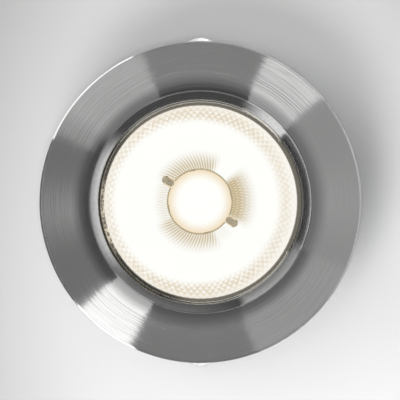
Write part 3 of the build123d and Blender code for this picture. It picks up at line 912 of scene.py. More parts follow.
class Finishes:
    """The finishes by the record's material slots, built once each, and the snap ring's own wire."""

    BOOK: dict[str, Finish] = {
        "brushed_bezel": TurnedMetal(),
        "cast_aluminium": Grained(
            "cast aluminium", (0.56, 0.57, 0.58), 0.48, metallic=1.0, grain=2600.0, bump=0.5
        ),
        "gasket_foam": Grained("gasket foam", (0.035, 0.035, 0.036), 0.9, grain=3200.0, bump=0.8),
        "spring_steel": DrawnMetal("drawn spring wire", (0.74, 0.72, 0.67), 0.15),
        "clear_glass": ClearGlass(),
        "mirror_coat": LitFacets(),
        "silicone": Grained("silicone", (0.55, 0.55, 0.54), 0.6, grain=2500.0, bump=0.15),
        # The board coat wears the phosphor's glow as painted light.
        "board_white": LitPhosphor("lit board coat"),
        "phosphor": LitPhosphor(),
        "contact_brass": DrawnMetal("dull plated brass", (0.74, 0.64, 0.47), 0.5, metallic=0.3),
        "holder_white": Grained("holder moulding", (0.70, 0.57, 0.36), 0.5, grain=4500.0, bump=0.2),
        "screw_steel": DrawnMetal("plated screws", (0.68, 0.68, 0.67), 0.25),
        "lead_sleeve": Grained("lead sleeve", (0.70, 0.70, 0.68), 0.55, grain=3000.0, bump=0.1),
        "sheet_steel": DrawnMetal("pressed sheet steel", (0.72, 0.72, 0.71), 0.1, marks=700.0),
        "terminal_plastic": Grained("terminal moulding", (0.75, 0.75, 0.73), 0.35, grain=4500.0, bump=0.1),
        "black_plastic": Grained(
            "black nylon", (0.022, 0.022, 0.024), 0.5, grain=3500.0, bump=0.35, blotch=0.25
        ),
        "rubber": Grained("soft rubber", (0.02, 0.02, 0.02), 0.75, grain=3000.0, bump=0.3),
    }

    def __init__(self) -> None:
        """Builds the shared effects and every slot's material."""
        self.effects = Effects()
        self.made = {slot: finish.material(self.effects) for slot, finish in self.BOOK.items()}
        self.snap_wire = SectorShadedWire().material(self.effects)

    def dress(self, piece: Piece, slot: str) -> None:
        """Gives a piece one slot's material."""
        piece.data.materials.clear()
        piece.data.materials.append(self.made[slot])


def add_piece(name: str, mesh: Mesh) -> Piece:
    """Links a new object with this mesh at the origin.

    Args:
        name: the object's name.
        mesh: its mesh.

    Returns:
        The object.
    """
    piece = bpy.data.objects.new(name, mesh)
    bpy.context.scene.collection.objects.link(piece)
    return piece


def mesh_of(name: str, points: Sequence, faces: Sequence, edges: Sequence = ()) -> Mesh:
    """Makes a mesh.

    Args:
        name: the mesh's name.
        points: its points in millimetres.
        faces: its faces, each as the numbers of its points.
        edges: edges that belong to no face.

    Returns:
        The mesh, in metres.
    """
    mesh = bpy.data.meshes.new(name)
    mesh.from_pydata((np.asarray(points, float) * MM).tolist(), list(edges), list(faces))
    mesh.update()
    return mesh


def smooth(mesh: Mesh, crease: float) -> Mesh:
    """Shades a mesh smooth, except over edges sharper than this many degrees.

    Args:
        mesh: the mesh.
        crease: the angle.

    Returns:
        The same mesh.
    """
    mesh.shade_smooth()
    mesh.set_sharp_from_angle(angle=math.radians(crease))
    return mesh


def settle(piece: Piece, modifier: bpy.types.Modifier) -> Piece:
    """Keeps what a modifier makes of a piece as its plain mesh.

    Args:
        piece: the piece.
        modifier: its only modifier, which is removed.

    Returns:
        The same piece.
    """
    graph = bpy.context.evaluated_depsgraph_get()
    kept = bpy.data.meshes.new_from_object(piece.evaluated_get(graph))
    piece.modifiers.remove(modifier)
    piece.data = kept
    kept.name = piece.name
    return piece


def lathe(name: str, outline: Sequence[Point2], turns: int) -> Mesh:
    """Closed ring turned round Z.

    Args:
        name: the mesh's name.
        outline: its section as (radius, z), a closed loop.
        turns: facets round the turn.

    Returns:
        The mesh, with faces that point outwards.
    """
    section = np.array(outline)
    count = len(section)
    angles = FULL_TURN * np.arange(turns) / turns
    points = np.empty((turns, count, 3))
    points[:, :, 0] = np.outer(np.cos(angles), section[:, 0])
    points[:, :, 1] = np.outer(np.sin(angles), section[:, 0])
    points[:, :, 2] = section[:, 1]
    faces = []
    for i in range(turns):
        here, after = i * count, (i + 1) % turns * count
        for j in range(count):
            k = (j + 1) % count
            faces.append((here + j, here + k, after + k, after + j))
    mesh = mesh_of(name, points.reshape(-1, 3), faces)
    work = bmesh.new()
    work.from_mesh(mesh)
    bmesh.ops.recalc_face_normals(work, faces=work.faces)
    work.to_mesh(mesh)
    work.free()
    return mesh


def round_corner(
    before: Point2, corner: Point2, after: Point2, radius: float, steps: int = 4
) -> list[Point2]:
    """Rounds one corner of an outline.

    Args:
        before: a point on the side that leads to the corner.
        corner: the sharp corner.
        after: a point on the side that leaves it.
        radius: radius of the round.
        steps: facets of the round.

    Returns:
        The points of the round.
    """
    p, q, r = Vector(before), Vector(corner), Vector(after)
    u, v = (p - q).normalized(), (r - q).normalized()
    half = u.angle(v) / 2.0
    reach = radius / math.tan(half)
    first, last = q + u * reach, q + v * reach
    middle = q + (u + v).normalized() * (radius / math.sin(half))
    spread = []
    for i in range(steps + 1):
        way = (first - middle).normalized().slerp((last - middle).normalized(), i / steps)
        spread.append(tuple(middle + way * radius))
    return spread


def path_mesh(name: str, points: Sequence[Sequence[float]]) -> Mesh:
    """Open line of edges through points in millimetres."""
    return mesh_of(name, points, (), [(i, i + 1) for i in range(len(points) - 1)])


class NodeTrees:
    """Geometry node trees for what repeats or follows a path."""

    def __init__(self) -> None:
        """Builds both trees."""
        self.wire = self.make_wire()
        self.ring = self.make_ring()

    @staticmethod
    def start(name: str, numbers: dict[str, tuple[str, float]]) -> GroupSheet:
        """Starts a geometry tree with a mesh input, named numbers and a material.

        Args:
            name: the tree's name.
            numbers: names of the numbers, each with its socket type and default.

        Returns:
            A sheet on the tree.
        """
        inputs = {"Mesh": ("NodeSocketGeometry",), **numbers, "Material": ("NodeSocketMaterial",)}
        return GroupSheet(name, "GeometryNodeTree", inputs, {"Mesh": "NodeSocketGeometry"})

    @staticmethod
    def finish(sheet: GroupSheet, shape: Signal) -> Tree:
        """Ends a tree in Realize Instances and Set Material.

        Args:
            sheet: the tree's sheet.
            shape: what the tree makes.

        Returns:
            The tree.
        """
        real = sheet.node("GeometryNodeRealizeInstances", {"Geometry": shape})
        dress = {"Geometry": real, "Material": sheet.source["Material"]}
        sheet.put("Mesh", sheet.node("GeometryNodeSetMaterial", dress))
        return sheet.tree

    def make_wire(self) -> Tree:
        """Builds the tree of wires.

        Returns:
            A tree that lays a round wire along a line of edges.
        """
        numbers = {"Radius": ("NodeSocketFloat", 0.5 * MM), "Sides": ("NodeSocketInt", 16)}
        sheet = self.start("wire along a path", numbers)
        path = sheet.node("GeometryNodeMeshToCurve", {"Mesh": sheet.source["Mesh"]})
        circle = {"Resolution": sheet.source["Sides"], "Radius": sheet.source["Radius"]}
        section = sheet.node("GeometryNodeCurvePrimitiveCircle", circle, mode="RADIUS")
        tube = {"Curve": path, "Profile Curve": section, "Fill Caps": True}
        return self.finish(sheet, sheet.node("GeometryNodeCurveToMesh", tube))

    def make_ring(self) -> Tree:
        """Builds the tree of rings.

        Returns:
            A tree that sets copies of one piece, drawn at the origin, evenly round Z.
        """
        numbers = {
            "Count": ("NodeSocketInt", 4),
            "Circle": ("NodeSocketFloat", 30.0 * MM),
            "First Angle": ("NodeSocketFloat", 0.0),
            "Seat": ("NodeSocketFloat", 0.0),
        }
        sheet = self.start("pieces in a ring", numbers)
        count, circle, first, seat = (sheet.source[label] for label in numbers)
        spots = sheet.node("GeometryNodeMeshLine", {"Count": count})
        angle = sheet.node("GeometryNodeInputIndex") * sheet.math("DIVIDE", FULL_TURN, count) + first
        place = sheet.join(angle.cosine() * circle, angle.sine() * circle, seat)
        spread = sheet.node("GeometryNodeSetPosition", {"Geometry": spots, "Position": place})
        turn = sheet.join(0.0, 0.0, angle)
        copies = {"Points": spread, "Instance": sheet.source["Mesh"], "Rotation": turn}
        return self.finish(sheet, sheet.node("GeometryNodeInstanceOnPoints", copies))

    @staticmethod
    def grow(name: str, tree: Tree, start: Mesh, **values: object) -> Piece:
        """Runs a tree on a mesh and keeps the result as a plain piece.

        Args:
            name: the piece's name.
            tree: one of the trees above.
            start: the mesh it starts from.
            values: the tree's named inputs, with _ for a space.

        Returns:
            The piece, with no modifier.
        """
        piece = add_piece(name, start)
        modifier = piece.modifiers.new("grow", "NODES")
        modifier.node_group = tree
        sockets = {s.name: s.identifier for s in tree.interface.items_tree if s.in_out == "INPUT"}
        for label, value in values.items():
            modifier[sockets[label.replace("_", " ")]] = value
        return settle(piece, modifier)


@dataclass
class Bezel:
    """Turned bezel, seen from the front as flange, crest and bevel, and the wire ring in its mouth."""

    flange_radius: float = 40.0
    flange_edge: float = 2.0
    rim_setback: float = 0.4
    rim_lip: float = 0.8
    edge_chamfer: float = 0.5
    edge_round: float = 0.12
    flange_slope: float = 7.0
    shoulder_radius: float = 32.0
    crest_radius: float = 27.5
    crest_slope: float = 24.0
    crest_round: float = 0.5
    rim_round: float = 0.2
    bevel_slope: float = 40.0
    bevel_swell: float = 0.05
    mouth_radius: float = 25.4
    lip_land: float = 0.4
    bore_radius: float = 25.25
    ledge_radius: float = 24.35
    sleeve_radius: float = 27.58
    gasket_thickness: float = 1.2
    glass_stack: float = 3.4
    ledge_thickness: float = 1.4
    wire_radius: float = 0.5
    wire_play: float = 0.05
    groove_play: float = 0.1
    wire_circle: float = 25.35
    wire_start: float = 32.0
    wire_end: float = 320.0
    hook_radius: float = 1.5
    hook_turn: float = 50.0
    turns: int = 384
    curl_steps: int = 14
    bevel_steps: int = 8
    rim_steps: int = 6
    crest_steps: int = 12
    crease: float = 20.0
    wire_points: int = 240
    hook_steps: int = 8
    wire_sides: int = 20
    wire_crease: float = 50.0

    @property
    def edge_front(self) -> float:
        """Front of the flange's outer wall."""
        return -self.rim_setback - self.flange_edge

    @property
    def shoulder_z(self) -> float:
        """Where the outer cone ends."""
        run = self.flange_radius - self.edge_chamfer - self.shoulder_radius
        return self.edge_front - run * math.tan(math.radians(self.flange_slope))

    @property
    def curl_radius(self) -> float:
        """Radius of the curl from the outer cone to the crest."""
        rise = math.sin(math.radians(self.crest_slope)) - math.sin(math.radians(self.flange_slope))
        return (self.shoulder_radius - self.crest_radius) / rise

    def curl(self, steps: int) -> list[Point2]:
        """Draws the curl of the flange.

        Args:
            steps: facets of the curl.

        Returns:
            Its points from the shoulder to the crest.
        """
        points = []
        for slope in np.linspace(self.flange_slope, self.crest_slope, steps + 1):
            lean, flat = math.radians(slope), math.radians(self.flange_slope)
            r = self.shoulder_radius - self.curl_radius * (math.sin(lean) - math.sin(flat))
            points.append((r, self.shoulder_z - self.curl_radius * (math.cos(flat) - math.cos(lean))))
        return points

    def bevel(self, crest: Point2, mouth: Point2) -> list[Point2]:
        """Draws the bevel, which swells slightly towards the axis.

        Args:
            crest: where it starts.
            mouth: where it ends.

        Returns:
            Its points between the two.
        """
        first, last = Vector(crest), Vector(mouth)
        out = Vector((first.y - last.y, last.x - first.x)).normalized()
        points = []
        for share in np.linspace(0.0, 1.0, self.bevel_steps + 1)[1:-1]:
            swell = 4.0 * self.bevel_swell * share * (1.0 - share)
            points.append(tuple(first.lerp(last, share) + out * swell))
        return points

    @property
    def groove_front(self) -> float:
        """Front wall of the wire's groove."""
        crest_z = self.curl(1)[-1][1]
        drop = (self.crest_radius - self.mouth_radius) * math.tan(math.radians(self.bevel_slope))
        return crest_z + drop + self.lip_land

    @property
    def wire_z(self) -> float:
        """Height of the wire's middle."""
        return self.groove_front + self.wire_play + self.wire_radius

    def outline(self) -> list[Point2]:
        """Draws the bezel's section with its small edge rounds.

        Returns:
            The section's points as (radius, z).
        """
        curl = self.curl(self.curl_steps)
        crest = curl[-1]
        mouth = (self.mouth_radius, self.groove_front - self.lip_land)
        mouth_end = (self.mouth_radius, self.groove_front)
        bevel = self.bevel(crest, mouth)
        groove = self.wire_circle + self.wire_radius + self.groove_play
        back = self.wire_z + self.wire_radius + self.wire_play
        ledge = back + self.glass_stack
        top = ledge + self.ledge_thickness
        lip = (self.flange_radius - self.rim_lip, -self.rim_setback)
        rear = (self.flange_radius, -self.rim_setback)
        side = (self.flange_radius, self.edge_front + self.edge_chamfer)
        front = (self.flange_radius - self.edge_chamfer, self.edge_front)
        return [
            (lip[0], -self.gasket_thickness),
            lip,
            *round_corner(lip, rear, side, self.edge_round),
            *round_corner(rear, side, front, self.edge_round),
            *round_corner(side, front, curl[0], self.rim_round, self.rim_steps),
            *curl[:-1],
            *round_corner(curl[-2], crest, bevel[0], self.crest_round, self.crest_steps),
            *bevel,
            *round_corner(bevel[-1], mouth, mouth_end, self.edge_round),
            mouth_end,
            (groove, self.groove_front),
            (groove, back),
            (self.bore_radius, back),
            (self.bore_radius, ledge),
            (self.ledge_radius, ledge),
            (self.ledge_radius, top),
            (self.sleeve_radius, top),
            (self.sleeve_radius, -self.gasket_thickness),
        ]

    def wire_path(self) -> list[Point3]:
        """Draws the middle line of the snap ring: a long arc whose two ends turn in.

        Returns:
            The line's points.
        """
        turned = np.linspace(0.0, 1.0, self.hook_steps + 1)[1:]
        path = [self.hook_point(self.wire_start, -1, share) for share in turned[::-1]]
        for angle in np.linspace(self.wire_start, self.wire_end, self.wire_points):
            path.append(self.hook_point(angle, 1, 0.0))
        return path + [self.hook_point(self.wire_end, 1, share) for share in turned]

    def hook_point(self, angle: float, way: int, share: float) -> Point3:
        """Point on an end hook.

        Args:
            angle: where the round stretch ends, in degrees.
            way: 1 where the hook runs on with the angle, -1 where it runs back.
            share: how much of the hook's turn is done, 0 to 1.

        Returns:
            The point.
        """
        turn = math.radians(self.hook_turn) * share
        out = Vector((math.cos(math.radians(angle)), math.sin(math.radians(angle))))
        along = Vector((-out.y, out.x)) * way
        bend = (along * math.sin(turn) - out * (1.0 - math.cos(turn))) * self.hook_radius
        spot = out * self.wire_circle + bend
        return (spot.x, spot.y, self.wire_z)

    def build(self, finishes: Finishes, trees: NodeTrees) -> list[Piece]:
        """Makes the bezel and the snap ring.

        Args:
            finishes: the materials by slot.
            trees: the geometry node trees.

        Returns:
            The pieces.
        """
        turned = lathe("bezel_turned", self.outline(), self.turns)
        bezel = add_piece("bezel_turned", smooth(turned, self.crease))
        finishes.dress(bezel, "brushed_bezel")
        ring = trees.grow(
            "snap_ring_wire",
            trees.wire,
            path_mesh("snap_ring_path", self.wire_path()),
            Radius=self.wire_radius * MM,
            Sides=self.wire_sides,
            Material=finishes.snap_wire,
        )
        smooth(ring.data, self.wire_crease)
        for piece, node in ((bezel, "bezel"), (ring, "snap_ring")):
            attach(piece, HOUSING)
            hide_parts(node)
        return [bezel, ring]


@dataclass
class TorsionSprings:
    """Torsion springs on the clips' pins: one leg in the bracket, one on the blade."""

    pivot_radius: float = 29.7
    pivot_height: float = 13.5
    collar_height: float = 6.0
    bracket_sheet: float = 1.0
    knuckle_radius: float = 1.75
    sheet_offset: float = 1.4
    bend: Point2 = (6.6, -10.9)
    wire: float = 0.7
    leg_play: float = 0.05
    turns: int = 4
    pitch: float = 1.15
    leg: float = 8.5
    fixed_lean: float = 20.0
    steps_per_turn: int = 40
    wire_sides: int = 12
    wire_crease: float = 50.0

    @property
    def circle(self) -> float:
        """Radius of the coil's middle line."""
        return self.knuckle_radius + self.wire / 2.0 + self.leg_play

    @property
    def start(self) -> float:
        """Angle where the fixed leg meets the coil, in degrees."""
        return 180.0 + self.fixed_lean

    @property
    def sweep(self) -> float:
        """Degrees the wire turns from one leg to the other."""
        reach = math.hypot(*self.bend)
        side = math.atan2(self.bend[1], self.bend[0]) + math.acos(self.sheet_offset / reach)
        return self.start - math.degrees(side) + 360.0 * self.turns

    @property
    def length(self) -> float:
        """Length of the coil along the pin."""
        return self.pitch * self.sweep / 360.0

    def point(self, turned: float) -> Vector:
        """Finds the middle of the wire on the coil.

        Args:
            turned: degrees from where the fixed leg meets the coil.

        Returns:
            The point seen from the pin: outwards, up and along it.
        """
        angle = math.radians(self.start - turned)
        climb = self.length * (turned / self.sweep - 0.5)
        return Vector((self.circle * math.cos(angle), self.circle * math.sin(angle), climb))

    def path(self) -> list[Vector]:
        """Draws the middle line of the wire from the bracket to the blade.

        Returns:
            The line's points, seen from the pin.
        """
        count = int(self.steps_per_turn * self.sweep / 360.0)
        coil = [self.point(self.sweep * i / count) for i in range(count + 1)]
        first, last = (coil[1] - coil[0]).normalized(), (coil[-1] - coil[-2]).normalized()
        base = self.collar_height + self.bracket_sheet / 2.0 - self.pivot_height
        foot = coil[0] - first * ((coil[0].y - base) / first.y)
        return [foot, *coil, coil[-1] + last * self.leg]

    def place(self, spot: Vector, side: Side) -> Point3:
        """Point seen from the pin, set on one side of the light."""
        out, up, along = spot
        return (along * side.way, (self.pivot_radius + out) * side.way, self.pivot_height + up)

    def build(self, finishes: Finishes, trees: NodeTrees) -> list[Piece]:
        """Makes both springs, drawn between the housing and their clips.

        Args:
            finishes: the materials by slot.
            trees: the geometry node trees.

        Returns:
            The pieces.
        """
        pieces = []
        for side in Side:
            path = [self.place(spot, side) for spot in self.path()]
            spring = trees.grow(
                "torsion_spring_" + side.letter,
                trees.wire,
                path_mesh("torsion_path_" + side.letter, path),
                Radius=self.wire / 2.0 * MM,
                Sides=self.wire_sides,
                Material=finishes.made["spring_steel"],
            )
            smooth(spring.data, self.wire_crease)
            half = self.length / 2.0
            ends = [Vector(self.place(Vector((0.0, 0.0, s * half)), side)) * MM for s in (-1.0, 1.0)]
            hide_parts("clip_spring_" + side.letter)
            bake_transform(spring)
            pieces.append(spring)
        return pieces


@dataclass(frozen=True)
class ScrewSet:
    """One node's cap screws: alike, and evenly spaced on a circle."""

    node: str
    head_radius: float
    head_height: float
    shank_radius: float
    reach: float
    count: int
    circle: float
    first_angle: float
    seat: float


@dataclass
class CapScrews:
    """Cap screws with rounded heads and hexagon sockets, in rings round the light's axis."""

    sets: tuple[ScrewSet, ...] = (
        ScrewSet(
            "heatsink_screws", head_radius=2.6, head_height=1.8, shank_radius=1.5, reach=8.0,
            count=4, circle=30.0, first_angle=45.0, seat=9.5,
        ),
        ScrewSet(
            "bracket_screws", head_radius=1.8, head_height=1.2, shank_radius=1.2, reach=4.8,
            count=2, circle=30.3, first_angle=90.0, seat=7.0,
        ),
        ScrewSet(
            "rear_cover_screws", head_radius=2.3, head_height=1.6, shank_radius=1.25, reach=10.8,
            count=2, circle=18.4, first_angle=90.0, seat=49.8,
        ),
    )
    sides: int = 32
    flats: int = 6
    socket_share: float = 0.5
    socket_floor: Span = (0.35, 0.8)
    socket_chamfer: float = 0.09
    edge: float = 0.18
    edge_inset: float = 0.3
    tip_chamfer: float = 0.36
    crease: float = 30.0

    def sections(self, screw: ScrewSet) -> list[tuple[float, float, bool]]:
        """Sizes a screw from the bottom of its socket, over its head, to its tip.

        Args:
            screw: the screw's sizes.

        Returns:
            Radius, height and whether it is a hexagon, of each ring of points.
        """
        radius, height, shank, edge = screw.head_radius, screw.head_height, screw.shank_radius, self.edge
        socket, deep = radius * self.socket_share, height * self.socket_share
        inset = self.edge_inset * edge
        return [
            (socket * self.socket_floor[0], deep * self.socket_floor[1], True),
            (socket, deep, True),
            (socket, height - self.socket_chamfer, True),
            (socket + self.socket_chamfer, height, True),
            (radius - edge, height, False),
            (radius - inset, height - inset, False),
            (radius, height - edge, False),
            (radius, 0.0, False),
            (shank, 0.0, False),
            (shank, self.tip_chamfer - screw.reach, False),
            (shank - self.tip_chamfer, -screw.reach, False),
        ]

    def screw(self, screw: ScrewSet) -> Mesh:
        """Makes one screw at the origin, seated at z = 0 and pointing down.

        Args:
            screw: its sizes.

        Returns:
            The screw's mesh.
        """
        sections = self.sections(screw)
        points, faces = [], []
        flat = math.pi / self.flats
        for ring, (radius, z, hexagon) in enumerate(sections):
            here, before = ring * self.sides, (ring - 1) * self.sides
            for i in range(self.sides):
                angle = FULL_TURN * i / self.sides
                pull = math.cos(flat) / math.cos((angle + flat) % (2.0 * flat) - flat) if hexagon else 1.0
                points.append((radius * pull * math.cos(angle), radius * pull * math.sin(angle), z))
                j = (i + 1) % self.sides
                if ring:
                    faces.append((before + i, here + i, here + j, before + j))
        last = (len(sections) - 1) * self.sides
        faces.append(tuple(range(self.sides)))
        faces.append(tuple(reversed(range(last, last + self.sides))))
        return mesh_of("cap_screw", points, faces)

    def build(self, finishes: Finishes, trees: NodeTrees) -> list[Piece]:
        """Makes the lug, bracket and cover screws.

        Args:
            finishes: the materials by slot.
            trees: the geometry node trees.

        Returns:
            The pieces.
        """
        pieces = []
        for screws in self.sets:
            ring = trees.grow(
                screws.node + "_capped",
                trees.ring,
                self.screw(screws),
                Count=screws.count,
                Circle=screws.circle * MM,
                First_Angle=math.radians(screws.first_angle),
                Seat=screws.seat * MM,
                Material=finishes.made["screw_steel"],
            )
            smooth(ring.data, self.crease)
            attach(ring, HOUSING)
            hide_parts(screws.node)
            pieces.append(ring)
        return pieces


@dataclass
class SoftEdged:
    """Cast, moulded and pressed pieces: copies of their CAD solids with small rounds on their edges."""

    rounds: tuple[tuple[str, float], ...] = (
        ("heatsink", 0.22),
        ("mounting_collar", 0.25),
        ("rear_cover", 0.3),
        ("gland_body", 0.25),
        ("gland_nut", 0.25),
        ("terminal_block", 0.2),
        ("clip_bracket_a", 0.12),
        ("clip_bracket_b", 0.12),
        ("spring_clip_a", 0.1),
        ("spring_clip_b", 0.1),
    )
    edge_angle: float = 40.0
    weld: float = 0.001
    flat_angle: float = 0.5
    round_steps: int = 2
    round_profile: float = 0.6
    crease: float = 30.0

    def rounded(self, node: Piece, width: float) -> Mesh:
        """Copies a node's mesh and rounds its edges.

        Args:
            node: the CAD node.
            width: how far each round reaches, in millimetres.

        Returns:
            The new mesh.
        """
        work = bmesh.new()
        work.from_mesh(node.data)
        bmesh.ops.remove_doubles(work, verts=work.verts, dist=self.weld * MM)
        flat, limit = in_radians(self.flat_angle, self.edge_angle)
        bmesh.ops.dissolve_limit(work, angle_limit=flat, verts=work.verts, edges=work.edges)
        bmesh.ops.bevel(
            work,
            geom=[e for e in work.edges if len(e.link_faces) == 2 and e.calc_face_angle() > limit],
            offset=width * MM,
            offset_type="OFFSET",
            segments=self.round_steps,
            profile=self.round_profile,
            affect="EDGES",
            clamp_overlap=True,
        )
        mesh = bpy.data.meshes.new(node.name + "_soft")
        work.to_mesh(mesh)
        work.free()
        return smooth(mesh, self.crease)

    @staticmethod
    def flatten_shading(piece: Piece) -> None:
        """Weights a piece's normals by face area, so that flat faces shade flat up to their rounds.

        Args:
            piece: the piece, whose mesh is replaced.
        """
        modifier = piece.modifiers.new("weights", "WEIGHTED_NORMAL")
        modifier.keep_sharp = True
        settle(piece, modifier)

    def build(self, finishes: Finishes, nodes: dict, slots: dict[str, str]) -> list[Piece]:
        """Makes the rounded copies.

        Args:
            finishes: the materials by slot.
            nodes: the frame's nodes.
            slots: each node's material slot.

        Returns:
            The pieces.
        """
        pieces = []
        for name, width in self.rounds:
            piece = add_piece(name + "_soft", self.rounded(nodes[name], width))
            self.flatten_shading(piece)
            finishes.dress(piece, slots[name])
            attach(piece, nodes[name]["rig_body"])
            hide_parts(name)
            pieces.append(piece)
        return pieces


@dataclass(frozen=True)
class Softbox:
    """Glowing panel, seen only in reflections: a stretch of a sphere round the light's middle.

    Its azimuth is measured from +X and its tilt from -Z. Its glow runs from one value at its first tilt to
    another at its last, and fades out over its soft sides. A ripple lets the glow rise and fall along the
    tilt, highest at ripple_peak, and dies out over ripple_end.
    """

    name: str
    azimuth: Span
    tilt: Span
    glow: Span
    soft: Span = (0.05, 0.05)
    distance: float = 1000.0
    ripple: float = 0.0
    ripple_peak: float = 25.5
    ripple_period: float = 30.0
    ripple_end: Span = (27.0, 35.0)
    columns: int = 24
    rows: int = 8

    def paint(self, effects: Effects) -> Material:
        """Makes the glow, which lets the room through where it fades.

        Args:
            effects: the shared node groups.

        Returns:
            The material.
        """
        sheet = MaterialSheet(self.name, effects)
        polar = sheet.polar()
        tilt = polar["Radius"].math("ARCTAN2", polar["Height"] * -1.0)
        start, end = in_radians(*self.azimuth)
        middle, half = (start + end) / 2.0, (end - start) / 2.0
        first, last = in_radians(*self.soft)
        off = (polar["Angle"] - middle).math("WRAP", math.pi, -math.pi)
        mask = off.ramp((-half - first, first - half)) * off.ramp((half - last, half + last), 1.0, 0.0)
        swing = ((tilt - math.radians(self.ripple_peak)) * (360.0 / self.ripple_period)).cosine()
        ripple = swing * tilt.ramp(in_radians(*self.ripple_end), self.ripple, 0.0)
        glow = (ripple + 1.0) * tilt.ramp(in_radians(*self.tilt), *self.glow)
        shine = sheet.node("ShaderNodeEmission", {"Strength": glow})
        sheet.surface(sheet.either(mask, sheet.node("ShaderNodeBsdfTransparent"), shine))
        return sheet.material

    def build(self, effects: Effects) -> Piece:
        """Makes the panel.

        Args:
            effects: the shared node groups.

        Returns:
            The panel.
        """
        points, faces = [], []
        first, last = self.azimuth[0] - self.soft[0], self.azimuth[1] + self.soft[1]
        for a in np.radians(np.linspace(first, last, self.columns + 1)):
            for t in np.radians(np.linspace(*self.tilt, self.rows + 1)):
                way = (math.sin(t) * math.cos(a), math.sin(t) * math.sin(a), -math.cos(t))
                points.append([self.distance * w for w in way])
        for i in range(self.columns):
            for j in range(self.rows):
                k = i * (self.rows + 1) + j
                faces.append((k, k + 1, k + self.rows + 2, k + self.rows + 1))
        panel = add_piece(self.name, mesh_of(self.name, points, faces))
        panel.data.materials.append(self.paint(effects))
        panel.visible_camera = panel.visible_diffuse = panel.visible_shadow = False
        return panel


@dataclass(frozen=True)
class KeyLight:
    """Small round lamp in front of the light, or behind it at a negative distance, that no mirror shows."""

    name: str
    azimuth: float
    offset: float
    radius: float
    power: float
    distance: float = 550.0

    def build(self) -> None:
        """Makes the lamp, which is not seen through glass either."""
        lamp = bpy.data.lights.new(self.name, "POINT")
        lamp.energy = self.power
        lamp.shadow_soft_size = self.radius * MM
        thing = bpy.data.objects.new(self.name, lamp)
        angle = math.radians(self.azimuth)
        spot = (math.cos(angle) * self.offset, math.sin(angle) * self.offset, -self.distance)
        thing.location = Vector(spot) * MM
        thing.visible_glossy = thing.visible_transmission = False
        bpy.context.scene.collection.objects.link(thing)


